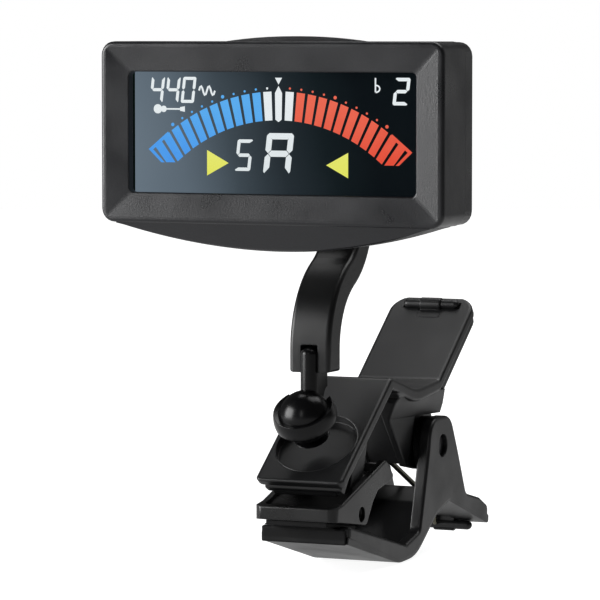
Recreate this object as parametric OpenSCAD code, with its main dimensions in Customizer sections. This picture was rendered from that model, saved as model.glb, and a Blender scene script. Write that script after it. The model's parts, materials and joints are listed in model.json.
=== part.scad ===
// Clip-on tuner: display head, curved arm on a ball joint, sprung clip.
// X runs across the clip, -Y faces the reader of the display, +Z is up.
// The origin is the centre of the lower pad's gripping face.

/* [Head] */
// Width of the head across the case
head_w = 59.2; // [59.2:0.2:62]
// Height of the flat part of the case, without the chin
head_h = 28.8; // [28.4:0.2:31]
// Height of the middle of the display above the origin
head_z = 64.8; // [64.4:0.2:66]
// Width of the display opening
window_w = 49.6; // [46:0.2:50]
// Height of the display opening
window_h = 19.2; // [17:0.2:19.6]
// Drop of the sloping bezel from the rim to the opening
bezel_drop = 0.45; // [0.2:0.05:0.8]
// Depth of the chin below the case
chin_drop = 4.4; // [3:0.2:5]

/* [Arm] */
// Width of the arm
arm_w = 7.2; // [6.8:0.2:8]
// Thickness of the arm
arm_t = 4.7; // [4.4:0.1:4.8]
// Radius of the lower bend, along the middle of the arm
lower_bend_r = 13.5; // [13:0.5:14]
// Lean of the arm where the two bends meet, in degrees
arm_lean = 62; // [60:1:63]

/* [Ball joint] */
// Diameter of the ball
ball_d = 8.6; // [8.4:0.1:8.8]
// Outside diameter of the socket rim
socket_d = 13.8; // [13.4:0.1:14.4]
// Width of the gap in the rim that the stem drops into
slot_w = 6.7; // [6.6:0.1:7.2]

/* [Clip] */
// Width of both jaws
clip_w = 15.3; // [15:0.1:17]
// Slope of the upper jaw's front plate, in degrees
plate_slope = 36.6; // [36:0.2:37]
// Thickness of the upper jaw's plate
plate_t = 1.95; // [1.8:0.05:2.1]
// Diameter of the hinge pin between the jaws
pivot_d = 3.7; // [3.4:0.1:3.8]
// Slope of the gripping faces, in degrees
mouth_slope = 8.5; // [8:0.5:9]

/* [Hidden] */
$fn = 40;

// Depths in the head, from the face to the back
face_y = -21.4;
seam_y = -12.4;
back_y = -9.4;
cavity_y = face_y + 2;
corner_r = 2.2;
wall = 1.4;
chin_r = 86;
hump_rise = 0.8;
window_gap = 0.02;
glass_y = cavity_y + window_gap;
lcd_y = glass_y + 1.05;
guide_y = lcd_y + 1.45;
board_y = guide_y + 1.5;
board_t = 1;
board_back_y = board_y + board_t;
screw_x = head_w / 2 - 2.6;
screw_z = 11.6;
screw_r = 0.8;

// Battery bay and buttons, as [x, height above the display's middle]
cell_x = -17.2;
cell_r = 10;
cell_t = 3.2;
cell_y = board_back_y + 0.4;
cover_r = 10.6;
cover_y = cell_y + cell_t + 0.1;
button_x = 17;
button_step = 7.2;
button_r = 2.5;
piezo_x = 5.5;

// Tilt hinge behind the head
tilt = [-4.1, head_z - 0.7];
tilt_pin_r = 1;
knuckle_r = 3.2;
knuckle_w = 6.4;
washer_t = 0.5;
lug_t = 2.4;
lug_in = knuckle_w / 2 + washer_t + 0.04;

// Arm centre line: a straight foot, a bend back, then a bend forward to the hinge
foot = [-3.7, 26];
foot_top = 29.6;
join = foot + [lower_bend_r * (1 - cos(arm_lean)), foot_top - foot.y + lower_bend_r * sin(arm_lean)];
upper_bend_r = (tilt.y - join.y) / (1 + sin(arm_lean));
upper_centre = [join.x - upper_bend_r * cos(arm_lean), tilt.y - upper_bend_r];

// Ball joint; the socket's axis stands square on the front plate
slope_along = [cos(plate_slope), sin(plate_slope)];
slope_out = [-sin(plate_slope), cos(plate_slope)];
rim = [-7.92, 20.78];
rim_bore_r = 5.5;
rim_bore_depth = 1.3;
slot_depth = 4.2;
ball_sink = [0.7, 1.7];
ball = rim - ball_sink[0] * slope_along - ball_sink[1] * slope_out;
ball_r = ball_d / 2;
seat_r = ball_r + 0.9;
socket_bore_r = seat_r + 0.06;
cup_spread = 34;
stem_r = 1.45;
stem_y = [-5.85, -1.95];
stem_top = 30.1;
stem_foot = 21.3;

// Jaws, as [y, z] points in the side view
nose = [-10.6, 8.8];
ridge = nose + 25.66 * slope_along;
valley = [20.9, 21.2];
kink = [30.6, 22.1];
grip_end = [47.2, 34.9];
pivot = [32, 10.9];
ear_r = 4.9;
ear_top = 15.8;
cheek_x = [2.8, 4.0];
boss_x = 4.1;
rail_t = 2;
tray_pivot = [-1.2, 2.85];
tray_pin_r = 0.8;
tray_w = 14.4;
tray_wall = 1.2;
half = clip_w / 2;
wire_r = 0.45;
bar_r = 0.8;
bar_half = 5.1;
grip_slope = atan2(grip_end.y - kink.y, grip_end.x - kink.x);

// Points of a corner at q rounded to radius r, between p and s
function rounded_corner(p, q, s, r, steps = 5) = r <= 0 ? [q] : let(
    u = (p - q) / norm(p - q),
    v = (s - q) / norm(s - q),
    half_turn = acos(u * v) / 2,
    centre = q + (u + v) / norm(u + v) * r / sin(half_turn),
    a = q + u * r / tan(half_turn) - centre,
    side = sign(a.x * (q - centre).y - a.y * (q - centre).x),
    sweep = side * (180 - 2 * half_turn))
    [for (i = [0:steps]) let(t = sweep * i / steps)
        centre + [a.x * cos(t) - a.y * sin(t), a.x * sin(t) + a.y * cos(t)]];

// Outline through [y, z, radius] points
function outline(p) = let(n = len(p), at = [for (q = p) [q[0], q[1]]])
    [for (i = [0:n - 1])
        each rounded_corner(at[(i + n - 1) % n], at[i], at[(i + 1) % n], p[i][2])];

function with_r(p, r) = [p.x, p.y, r];

// Extrudes a [y, z] profile across x
module across(x0, x1) {
    translate([x0, 0, 0]) rotate([90, 0, 90]) linear_extrude(x1 - x0) children();
}

// The same, once on each side of the clip
module both_sides(x0, x1) {
    across(x0, x1) children();
    across(-x1, -x0) children();
}

// Extrudes an [x, z] profile from y0 back to y1
module backward(y0, y1) {
    translate([0, y1, 0]) rotate([90, 0, 0]) linear_extrude(y1 - y0) children();
}

// A rod along x through a [y, z] point
module rod(at, r, x0, x1) {
    translate([x0, at.x, at.y]) rotate([0, 90, 0]) cylinder(h = x1 - x0, r = r);
}

// A round post along y
module post(x, z, r, y0, y1) {
    translate([x, y1, z]) rotate([90, 0, 0]) cylinder(h = y1 - y0, r = r);
}

module panel(w, h, r = 0) {
    polygon(outline([[-w / 2, -h / 2, r], [w / 2, -h / 2, r], [w / 2, h / 2, r], [-w / 2, h / 2, r]]));
}

module centred_panel(w, h, y0, y1, r = 0) {
    translate([0, 0, head_z]) backward(y0, y1) panel(w, h, r);
}

module at_screws() {
    for (sx = [-1, 1], sz = [-1, 1]) translate([sx * screw_x, 0, head_z + sz * screw_z]) children();
}

module at_buttons() {
    for (i = [-1:1]) translate([button_x, 0, head_z + i * button_step]) children();
}

// Places children in the socket's own frame: rim centre at the origin, axis up
module socket_frame(at = rim) {
    translate([0, at.x, at.y]) rotate([plate_slope, 0, 0]) children();
}

// Large-radius bulge of the case: a circle segment that stands out by rise
module bulge(rise, span) {
    intersection() {
        translate([0, rise - chin_r]) circle(r = chin_r, $fn = 180);
        translate([-span / 2, -1]) square([span, rise + 2]);
    }
}

// ---------------------------------------------------------------- head

// Sloping bezel: a shallow four-sided dish that narrows to the opening
module bezel_dish() {
    rim_x = head_w / 2 - 0.6;
    rim_z = head_h / 2 - 0.6;
    hole_x = window_w / 2;
    hole_z = window_h / 2;
    hull() {
        centred_panel(2 * rim_x, 2 * rim_z, face_y - 0.3, face_y - 0.01);
        centred_panel(2 * hole_x, 2 * hole_z, face_y - 0.3, face_y + bezel_drop);
    }
}

module front_shell() {
    centred_panel(head_w, head_h, face_y, seam_y, corner_r);
    intersection() {
        translate([0, 0, head_z - head_h / 2]) backward(face_y, seam_y)
            mirror([0, 1]) bulge(chin_drop, head_w);
        across(-head_w / 2, head_w / 2) polygon([
            [face_y + 0.4, head_z - head_h / 2 + 1],
            [face_y + 0.4, head_z - head_h / 2],
            [face_y + 3.6, head_z - head_h / 2 - chin_drop],
            [seam_y, head_z - head_h / 2 - chin_drop],
            [seam_y, head_z - head_h / 2 + 1]]);
    }
}

module front_case() color("#2b2c2e") difference() {
    union() {
        difference() {
            front_shell();
            centred_panel(head_w - 2 * wall, head_h - 2 * wall, cavity_y, seam_y + 1, 1);
        }
        intersection() {
            at_screws() post(0, 0, 1.9, cavity_y, seam_y);
            centred_panel(head_w - wall, head_h - wall, cavity_y - 1, seam_y);
        }
    }
    bezel_dish();
    centred_panel(window_w, window_h, face_y - 1, cavity_y + 1, 0.8);
    at_screws() post(0, 0, screw_r - 0.05, cavity_y + 1.5, seam_y + 1);
}

module display_window() color("#101418") {
    centred_panel(50.4, 21.6, glass_y, glass_y + 1);
}

module lcd_panel() color("#20262c") {
    centred_panel(50, 24.6, lcd_y, lcd_y + 1.4);
}

module light_guide() color("#e6ecf0") {
    centred_panel(49.4, 20, guide_y, guide_y + 1.4);
}

module zebra_strips() color("#c8a0a8") {
    for (side = [-1, 1]) translate([0, 0, side * 11.2]) centred_panel(44, 1.8, guide_y, board_y - 0.05);
}

module circuit_board() color("#1f6b3a") difference() {
    centred_panel(head_w - 2 * wall - 0.6, 24.8, board_y, board_back_y);
    at_screws() post(0, 0, 2.1, board_y - 1, board_back_y + 1);
}

module tuner_chip() color("#16171a") {
    centred_panel(7, 7, board_back_y + 0.03, board_back_y + 0.95, 0.3);
}

module dome_switches() color("#c9ccd0") {
    at_buttons() post(0, 0, 2.4, board_back_y + 0.03, board_back_y + 0.33);
}

module piezo_disc() color("#c9a54a") {
    translate([piezo_x, 0, head_z]) {
        post(0, 0, 6, back_y - 1.85, back_y - 1.55);
        post(0, 0, 4.4, back_y - 2.1, back_y - 1.8);
    }
}

// Leaf between the board and the cell's negative face
module negative_contact() color("#d0d2d6") {
    translate([cell_x, 0, head_z]) backward(board_back_y + 0.03, board_back_y + 0.3) panel(12, 4, 1);
}

// Strip that stands on the board and bears on the cell's rim
module positive_contact() color("#d0d2d6") {
    translate([cell_x, 0, head_z + cell_r + 0.11])
        backward(board_back_y + 0.03, board_back_y + 2.6) panel(2.2, 0.16);
}

module coin_cell() color("#c4c7ca") {
    post(cell_x, head_z, cell_r, cell_y, cell_y + cell_t);
}

module battery_cover() color("#2b2c2e") difference() {
    post(cell_x, head_z, cover_r, cover_y, back_y + 0.2);
    translate([cell_x, 0, head_z]) backward(back_y - 0.5, back_y + 1) panel(9, 1.6, 0.5);
}

// Key cap with a flange that keeps it in the case
module button_cap(step) {
    translate([button_x, 0, head_z + step * button_step]) {
        post(0, 0, button_r, back_y - 1.6, back_y + 0.7);
        post(0, 0, button_r + 0.6, back_y - 2.3, back_y - 1.58);
        post(0, 0, 0.9, board_back_y + 0.9, back_y - 2.2);
    }
}

module power_button() color("#8e2f2c") button_cap(1);
module mode_button() color("#3a3c40") button_cap(0);
module pitch_button() color("#3a3c40") button_cap(-1);

module tilt_lugs() {
    both_sides(lug_in, lug_in + lug_t) {
        translate([back_y - 0.5, tilt.y - knuckle_r]) square([tilt.x - back_y + 0.5, 2 * knuckle_r]);
        translate(tilt) circle(r = knuckle_r);
    }
}

module rear_case() color("#2b2c2e") difference() {
    union() {
        difference() {
            union() {
                centred_panel(head_w - 0.2, head_h - 0.2, seam_y + 0.02, back_y, corner_r);
                translate([0, 0, head_z + head_h / 2 - 0.2]) backward(seam_y + 0.02, back_y)
                    bulge(hump_rise + 0.2, 40);
                translate([0, 0, head_z - head_h / 2 + 0.2]) backward(seam_y + 0.02, back_y)
                    mirror([0, 1]) bulge(chin_drop, 50);
            }
            centred_panel(head_w - 2 * wall, head_h - 2 * wall, seam_y - 1, back_y - 1.5, 1);
        }
        intersection() {
            post(cell_x, head_z, cell_r + 1.4, board_back_y + 0.6, back_y - 0.5);
            centred_panel(head_w - 2 * wall - 0.4, 40, board_y, back_y);
        }
        at_screws() post(0, 0, 1.8, seam_y + 0.02, back_y - 0.5);
        tilt_lugs();
    }
    post(cell_x, head_z, cell_r + 0.3, board_y, back_y - 0.5);
    post(cell_x, head_z, cover_r + 0.05, cover_y - 0.02, back_y + 1);
    at_screws() {
        post(0, 0, screw_r + 0.1, seam_y - 1, back_y + 1);
        post(0, 0, 1.5, back_y - 1, back_y + 1);
    }
    at_buttons() post(0, 0, button_r + 0.06, back_y - 3, back_y + 1);
    rod(tilt, tilt_pin_r + 0.05, -10, 10);
}

module case_screws() color("#6c6f74") {
    at_screws() difference() {
        union() {
            post(0, 0, screw_r - 0.06, cavity_y + 2.5, back_y - 0.9);
            post(0, 0, 1.4, back_y - 0.98, back_y - 0.3);
        }
        backward(back_y - 0.6, back_y + 1) union() {
            square([1.5, 0.35], center = true);
            square([0.35, 1.5], center = true);
        }
    }
}

module tilt_pin() color("#a9acb0") {
    rod(tilt, tilt_pin_r, -lug_in - lug_t + 0.3, lug_in + lug_t - 0.3);
}

module friction_washers() color("#d8d4c8") difference() {
    both_sides(lug_in - 0.02 - washer_t, lug_in - 0.02) translate(tilt) circle(r = 3);
    rod(tilt, tilt_pin_r + 0.05, -10, 10);
}

// ---------------------------------------------------------------- arm

// Ring sector of the arm's thickness: centre, middle radius, start and end angle
module bend(centre, r, a0, a1) {
    far = 3 * r;
    translate(centre) intersection() {
        difference() {
            circle(r = r + arm_t / 2, $fn = 90);
            circle(r = r - arm_t / 2, $fn = 90);
        }
        polygon([[0, 0], for (i = [0:4]) let(a = a0 + (a1 - a0) * i / 4) far * [cos(a), sin(a)]]);
    }
}

module arm_side_view() {
    translate([foot.x - arm_t / 2, foot.y]) square([arm_t, foot_top - foot.y]);
    bend([foot.x + lower_bend_r, foot_top], lower_bend_r, 180.1, 179.9 - arm_lean);
    bend(upper_centre, upper_bend_r, -arm_lean - 0.1, 90.1);
    translate([tilt.x, tilt.y - arm_t / 2]) square([upper_centre.x - tilt.x, arm_t]);
    translate(tilt) circle(r = knuckle_r);
}

module arm() color("#1c1d1f") difference() {
    across(-arm_w / 2, arm_w / 2) arm_side_view();
    // Shoulders that fit between the head's lugs
    both_sides(knuckle_w / 2, arm_w / 2 + 1) translate(tilt) circle(r = knuckle_r + 1);
    rod(tilt, tilt_pin_r + 0.05, -10, 10);
    // Slot for the stem
    translate([0, 0, foot.y - 1]) linear_extrude(stem_top - foot.y + 1.02) stem_section(0.02);
}

module stem_section(grow) {
    translate([0, stem_y[0]]) circle(r = stem_r + grow);
    translate([-stem_r - grow, stem_y[0]])
        square([2 * (stem_r + grow), stem_y[1] - stem_y[0] + grow]);
}

module ball_stem() color("#0c0c0e") {
    translate([0, ball.x, ball.y]) sphere(r = ball_r);
    translate([0, 0, stem_foot]) linear_extrude(stem_top - stem_foot) stem_section(0);
}

// ---------------------------------------------------------------- ball seat

// Round shell about the ball, between two angles from the socket's axis
module seat_shell(from, to, gap) {
    socket_frame(ball) rotate([0, 0, -90 - (360 - gap) / 2]) rotate_extrude(angle = 360 - gap)
        intersection() {
            difference() {
                circle(r = seat_r);
                circle(r = ball_r + 0.05);
            }
            polygon([[0, 0], for (a = [from:(to - from) / 4:to]) 9 * [sin(a), cos(a)]]);
        }
}

module seat_ring() color("#141416") seat_shell(70, 98, 96);

module seat_cup() color("#141416") socket_frame(ball) difference() {
    sphere(r = seat_r);
    sphere(r = ball_r + 0.05);
    translate([-9, -9, -seat_r * cos(cup_spread)]) cube(18);
}

// ---------------------------------------------------------------- clip

function below(p, normal, depth) = p - depth * normal;

grip_out = [-sin(grip_slope), cos(grip_slope)];
nose_under = nose + [2.6, -1.6] + (1.95 - plate_t) * slope_out;

module upper_plate() {
    across(-half, half) polygon(outline([
        with_r(nose, 0.4),
        with_r(ridge, 1.0),
        with_r(valley, 14),
        with_r(kink, 0.8),
        with_r(grip_end, 0.5),
        with_r(below(grip_end, grip_out, plate_t), 0.5),
        with_r(below(kink, [-0.3, 0.95], plate_t), 0.6),
        with_r(below(valley, [0, 1], plate_t + 0.2), 8),
        with_r(below(ridge, slope_out, plate_t) + [-0.4, -0.5], 0.8),
        with_r(nose_under, 0.3)]));
}

// Block under the front lip; it narrows downward
module nose_block() {
    top = nose_under + 0.3 * slope_out;
    across(-half + 0.9, half - 0.9) polygon([
        top, nose_under + [0.9, -0.5], nose_under + 4.4 * slope_along, top + 4.2 * slope_along]);
    across(-5.7, 5.7) polygon([
        top, nose_under + [0.3, -0.3], nose_under + [1.0, -1.1], nose_under + 5 * slope_along,
        top + 4.8 * slope_along]);
}

// Solid shoulders above the lower jaw's ears, drawn in below to the cheeks
shoulder_z = 17.3;

module shoulders() {
    both_sides(cheek_x[0], half) polygon(outline([
        [9.2, shoulder_z, 0], [33.6, shoulder_z, 0.8], [33.8, 20.6, 0.3],
        [31.4, 21.6, 0], [21, 20.2, 0], [11, 22.6, 0], [8.2, 20, 0]]));
    for (side = [0, 1]) mirror([side, 0, 0]) hull() {
        across(half - 0.1, half) polygon([
            [9.2, shoulder_z + 0.1], [9.4, shoulder_z - 0.1],
            [25.6, shoulder_z - 0.1], [25.6, shoulder_z + 0.1]]);
        across(cheek_x[0] + 0.5, cheek_x[1]) polygon([
            [15.6, shoulder_z + 0.1], [22.2, 11.0], [25.2, 12.8], [25.6, shoulder_z + 0.1]]);
    }
}

// Side walls that carry the pivot bore, inside the ears, and the guard across their front edges
module cheeks() {
    across(-cheek_x[0] - 0.1, cheek_x[0] + 0.1)
        polygon([[14.7, 19.6], [24.5, 8.2], [25.6, 8.5], [16.6, 19.6]]);
    both_sides(cheek_x[0], cheek_x[1]) polygon(outline([
        [14.6, 19.6, 0], [24.6, 7.9, 0.6], [30, 6.9, 1.6], [34.8, 7.2, 2.6],
        [37.0, 11.2, 2.6], [35.4, 16.8, 1], [33.2, 20, 0]]));
}

// Ribs along the edges of the upper handle
module handle_ribs() {
    both_sides(half - 1.8, half - 0.5) polygon(outline([
        with_r(below(kink, [0, 1], 0.6) + [-1.4, 0], 0),
        with_r(below(kink, grip_out, 3.4) + [0.6, 0.4], 0.8),
        with_r(below(grip_end, grip_out, 3.1) + [-0.3, -0.2], 0.8),
        with_r(below(grip_end, grip_out, 0.5), 0.3)]));
}

// Arms that reach down into the pad tray and hold its pin
module tray_lugs() {
    both_sides(4.4, 5.6) {
        translate(tray_pivot) circle(r = 1.7);
        polygon([
            tray_pivot + [-1.7, 0], tray_pivot + [1.7, 0],
            [6.5, 19.5], [-1.0, 13.6]]);
    }
}

module socket_boss() {
    socket_frame() {
        translate([0, 0, -8.4]) cylinder(h = 8.4, r1 = socket_d / 2 - 0.65, r2 = socket_d / 2);
    }
}

module socket_cavity() {
    socket_frame(ball) {
        sphere(r = socket_bore_r);
        cylinder(h = 4, r = socket_bore_r);
    }
    socket_frame() {
        translate([0, 0, -rim_bore_depth]) cylinder(h = rim_bore_depth + 1, r = rim_bore_r);
        translate([-slot_w / 2, 0, -slot_depth]) cube([slot_w, 12, slot_depth + 2]);
    }
}

// Place of the spring's cross bar on a handle: distance in from the handle's end
bar_inset = 2.2;
upper_bar = grip_end - bar_inset * [cos(grip_slope), sin(grip_slope)] + 0.3 * grip_out;

// Waste outside a handle's rounded corner; the corner point is at, the plate leans by slope
module handle_corners(at, slope, r) {
    for (side = [0, 1]) mirror([side, 0, 0])
        translate([half, at.x, at.y]) rotate([slope, 0, 0]) difference() {
            translate([-r, -r, -6]) cube([r + 1, r + 1, 12]);
            translate([-r, -r, -7]) cylinder(h = 14, r = r);
        }
}

module upper_jaw() color("#202123") difference() {
    union() {
        upper_plate();
        nose_block();
        shoulders();
        cheeks();
        handle_ribs();
        tray_lugs();
        socket_boss();
        // Keeper over the spring's cross bar
        across(-1.9, 1.9) translate(upper_bar) circle(r = bar_r + 0.32);
    }
    socket_cavity();
    handle_corners(grip_end, grip_slope, 3.4);
    handle_corners(nose, 180 + plate_slope, 0.9);
    rod(pivot, pivot_d / 2 + 0.05, -10, 10);
    rod(tray_pivot, tray_pin_r + 0.05, -10, 10);
    rod(upper_bar, bar_r + 0.03, -bar_half - 0.1, bar_half + 0.1);
    // Notch that the spring's leg comes through
    translate([0, upper_bar.x, upper_bar.y]) rotate([grip_slope, 0, 0])
        translate([-2.1, -3.1, -5]) cube([4.2, 2.6, 9]);
}

// Lower jaw -----------------------------------------------------------

floor_front = [-7.8, -1.3];
floor_back = [13.5, -6.9];
lower_grip_end = [53.0, -4.8];
lower_bar = [51.4, -5.1];

// Bent plate that makes the floor, the step and the handle
module lower_plate() {
    across(-half, half) polygon(outline([
        with_r(floor_front, 0.2), with_r(floor_back, 3), [20.5, -6.6, 3], [29.6, -0.6, 3],
        [35.2, 1.1, 2.5], with_r(lower_grip_end, 0.4),
        with_r(lower_grip_end + [0.2, 1.5], 0.5), [35.2, 3.4, 2.5], [29.3, 1.4, 3],
        [20.4, -4.9, 2.5], [13.6, -5.7, 2], with_r(floor_front + [0.3, 1.15], 0)]));
}

// Side wall: rail, ear and the handle's upturned edge
module lower_wall() {
    polygon(outline([
        [-7.0, -0.4, 0], with_r(floor_back + [0, 0.05], 3), [20.4, -6.5, 3], [29.6, -0.5, 3],
        [35.2, 1.2, 2.5], with_r(lower_grip_end + [-0.3, 0.2], 0.3), [52.7, -1.6, 1.2],
        [48.9, 0.2, 1.5], [42.7, 1.6, 2], [38.9, 9.5, 2], [35.6, ear_top, 3.7],
        [27.0, ear_top, 3.7], [26.0, 10.5, 4], [22.2, -2.6, 1.4], [16.4, -4.2, 1.5], [-7.0, 1.5, 0.2]]));
}

module lower_jaw() color("#202123") difference() {
    union() {
        lower_plate();
        both_sides(half - rail_t, half) lower_wall();
        both_sides(boss_x, half - rail_t + 0.1) translate(pivot) circle(r = ear_r);
        // Keeper under the handle for the spring's cross bar
        across(-1.9, 1.9) {
            translate(lower_bar) circle(r = bar_r + 0.32);
            translate(lower_bar + [-0.9, 0]) square([1.8, 2]);
        }
    }
    rod(pivot, pivot_d / 2 + 0.07, -10, 10);
    rod(lower_bar, bar_r + 0.03, -bar_half - 0.1, bar_half + 0.1);
    across(-2.1, 2.1) translate(lower_bar + [-3.1, -2]) square([2.6, 6]);
}

module pivot_pin() color("#b4b7ba") {
    rod(pivot, pivot_d / 2, -half + 0.7, half - 0.7);
}

// Spring --------------------------------------------------------------

coil_r = pivot_d / 2 + 0.95;
coil_pitch = 1.0;
full_turns = 4;

// Sweeps a round wire along points that never run along x
module wire(path, r, sides = 10) {
    n = len(path);
    rings = [for (i = [0:n - 1]) let(
        t = path[min(i + 1, n - 1)] - path[max(i - 1, 0)],
        u = cross(t, [1, 0, 0]) / norm(cross(t, [1, 0, 0])),
        v = cross(u, t) / norm(t))
        [for (k = [0:sides - 1]) path[i] + r * (cos(360 * k / sides) * u + sin(360 * k / sides) * v)]];
    polyhedron(
        points = [for (ring = rings) each ring],
        faces = [
            [for (k = [sides - 1:-1:0]) k],
            for (i = [0:n - 2], k = [0:sides - 1]) let(k2 = (k + 1) % sides)
                [i * sides + k, i * sides + k2, (i + 1) * sides + k2, (i + 1) * sides + k],
            [for (k = [0:sides - 1]) (n - 1) * sides + k]],
        convexity = 10);
}

// Direction, in degrees, of a leg that leaves the coil for a [y, z] point on its side of the pivot
function leg_angle(p, side) = atan2(p.y - pivot.y, p.x - pivot.x) - side * asin(coil_r / norm(p - pivot));

// Ends of the legs: under the handle, through its notch, onto the cross bar
grip_along = [cos(grip_slope), sin(grip_slope)];
upper_leg = [
    upper_bar - 1.9 * grip_along - 3.5 * grip_out,
    upper_bar - 1.3 * grip_along - 0.5 * grip_out,
    upper_bar - 0.6 * grip_along];
lower_leg = [lower_bar + [-2.0, 3.9], lower_bar + [-1.3, 0.6], lower_bar + [-0.6, 0]];
coil_start = leg_angle(upper_leg[0], 1) + 90;
coil_finish = 360 * full_turns + leg_angle(lower_leg[0], -1) + 270;
coil_middle = (coil_start + coil_finish) / 2;

function coil_point(a) = [
    coil_pitch * (coil_middle - a) / 360,
    pivot.x + coil_r * cos(a),
    pivot.y + coil_r * sin(a)];

module torsion_spring() color("#a8a894") {
    steps = 90;
    wire([
        for (i = [2:-1:0]) [1.4, upper_leg[i].x, upper_leg[i].y],
        for (i = [0:steps]) coil_point(coil_start + (coil_finish - coil_start) * i / steps),
        for (p = lower_leg) [-1.4, p.x, p.y]], wire_r);
    rod(upper_bar, bar_r, -bar_half, bar_half);
    rod(lower_bar, bar_r, -bar_half, bar_half);
}

// Pads ----------------------------------------------------------------

// Height of the gripping plane at y, raised by lift
function mouth(y, lift = 0) = [y, -y * tan(mouth_slope) + lift];

pad_front = -8.3;
pad_back = 6;
tray_front = -11.9;
tray_lift = 0.9;

module lower_pad() color("#111214") {
    seat = [for (y = [-7.0, pad_back]) [y, floor_front.y + 1.2 + (y + 7.5) * (-5.7 + 0.15) / 21.1]];
    across(-half + rail_t + 0.02, half - rail_t - 0.02) polygon([
        seat[0] + [-0.6, 0.2], seat[0], seat[1], mouth(pad_back), mouth(pad_front)]);
    across(-half + 0.35, half - 0.35) polygon([
        mouth(pad_front), [pad_front + 0.3, 0.0], [-7.05, -0.1], mouth(-7.05)]);
}

module upper_pad() color("#111214") {
    across(-5.4, 5.4) polygon([
        mouth(tray_front + 0.9, 0.03), mouth(0.4, 0.03),
        mouth(0.4, tray_lift - 0.02), mouth(tray_front + 0.9, tray_lift - 0.02)]);
}

module tray_side() {
    polygon(outline([
        with_r(mouth(tray_front, tray_lift), 0.2), with_r(mouth(0.9, tray_lift), 1.2),
        [3.6, 4.3, 1.5], [5.6, 6.0, 2], [10.4, 6.9, 1], [12.4, 7.6, 0.6], [9.0, 10.8, 1],
        [-8.6, 5.3, 2], [tray_front, 4.8, 0.3]]));
}

// Plan outline of the tray, with round front corners
module tray_plan() {
    translate([0, 0, -2]) linear_extrude(16) polygon(outline([
        [-tray_w / 2, tray_front, 2.3], [tray_w / 2, tray_front, 2.3],
        [tray_w / 2, 14, 0], [-tray_w / 2, 14, 0]]));
}

module pad_tray() color("#2a2b2e") difference() {
    intersection() {
        tray_body();
        tray_plan();
    }
    rod(tray_pivot, tray_pin_r + 0.02, -10, 10);
    for (side = [0, 1]) mirror([side, 0, 0]) rod(tray_pivot, 1.25, tray_w / 2 - 0.7, tray_w / 2 + 1);
    // Slots in the floor for the jaw's lugs
    both_sides(4.2, 5.8) translate([-3.2, 0]) square([5, 3.5]);
}

module tray_body() {
    both_sides(tray_w / 2 - tray_wall, tray_w / 2) tray_side();
    // Front wall, floor, sloping deck and rear rib
    across(-tray_w / 2, tray_w / 2) polygon([
        mouth(tray_front, tray_lift), mouth(tray_front + 2.4, tray_lift),
        [tray_front + 2.4, 4.4], [tray_front + 1.2, 4.5], [tray_front, 4.8]]);
    across(-tray_w / 2 + 0.5, tray_w / 2 - 0.5) {
        polygon([
            mouth(tray_front + 1, tray_lift), mouth(0.6, tray_lift), mouth(0.6, tray_lift + 0.8),
            mouth(tray_front + 1, tray_lift + 0.8)]);
        polygon([[tray_front + 1, 3.5], [-3.2, 5.7], [-3.2, 6.5], [tray_front + 1, 4.2]]);
        polygon([[6.6, 8.4], [9.2, 8.2], [8.6, 10.0], [6.6, 9.2]]);
    }
}

module tray_pin() color("#b4b7ba") {
    rod(tray_pivot, tray_pin_r, -tray_w / 2 + 0.8, tray_w / 2 - 0.8);
}

front_case();
display_window();
lcd_panel();
light_guide();
zebra_strips();
circuit_board();
tuner_chip();
piezo_disc();
dome_switches();
negative_contact();
positive_contact();
coin_cell();
battery_cover();
power_button();
mode_button();
pitch_button();
rear_case();
case_screws();
tilt_pin();
friction_washers();
arm();
ball_stem();
seat_ring();
seat_cup();
upper_jaw();
lower_jaw();
pivot_pin();
torsion_spring();
pad_tray();
tray_pin();
upper_pad();
lower_pad();
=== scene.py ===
"""Clip-on tuner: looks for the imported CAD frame. Shapes are built in millimetres in the part's own frame."""
import json
import math

import bmesh
import bpy
from mathutils import Matrix, Vector


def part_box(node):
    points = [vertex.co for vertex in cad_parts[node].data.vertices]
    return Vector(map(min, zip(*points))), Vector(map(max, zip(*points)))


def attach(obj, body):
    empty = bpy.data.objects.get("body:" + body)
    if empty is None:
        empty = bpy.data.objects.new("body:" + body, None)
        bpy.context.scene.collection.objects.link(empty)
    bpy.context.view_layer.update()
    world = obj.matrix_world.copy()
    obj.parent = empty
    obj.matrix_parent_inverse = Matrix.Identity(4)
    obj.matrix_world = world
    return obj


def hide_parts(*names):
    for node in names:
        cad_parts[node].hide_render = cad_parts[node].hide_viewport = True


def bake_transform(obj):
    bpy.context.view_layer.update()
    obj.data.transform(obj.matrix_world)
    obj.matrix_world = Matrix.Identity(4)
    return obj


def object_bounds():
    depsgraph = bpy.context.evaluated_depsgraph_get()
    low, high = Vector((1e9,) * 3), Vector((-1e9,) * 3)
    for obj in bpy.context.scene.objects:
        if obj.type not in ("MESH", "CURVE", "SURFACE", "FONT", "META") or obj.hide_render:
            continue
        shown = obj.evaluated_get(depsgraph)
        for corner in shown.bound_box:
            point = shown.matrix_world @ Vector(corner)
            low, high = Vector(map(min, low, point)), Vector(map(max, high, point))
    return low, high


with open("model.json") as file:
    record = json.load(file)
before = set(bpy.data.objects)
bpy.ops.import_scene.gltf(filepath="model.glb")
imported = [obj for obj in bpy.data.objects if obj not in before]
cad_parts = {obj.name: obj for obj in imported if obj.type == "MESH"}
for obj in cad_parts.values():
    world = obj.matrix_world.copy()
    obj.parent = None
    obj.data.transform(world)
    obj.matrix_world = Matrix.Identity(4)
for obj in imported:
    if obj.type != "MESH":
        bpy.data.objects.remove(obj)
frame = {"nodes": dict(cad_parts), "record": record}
cad_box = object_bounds()

MM = 0.001
QUARTER = math.pi / 2
THROUGH = (-10, 10)  # x range of a hole right through
JOINTS = {j["name"]: j for j in frame["record"]["behaviour"]["joints"]}


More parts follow.
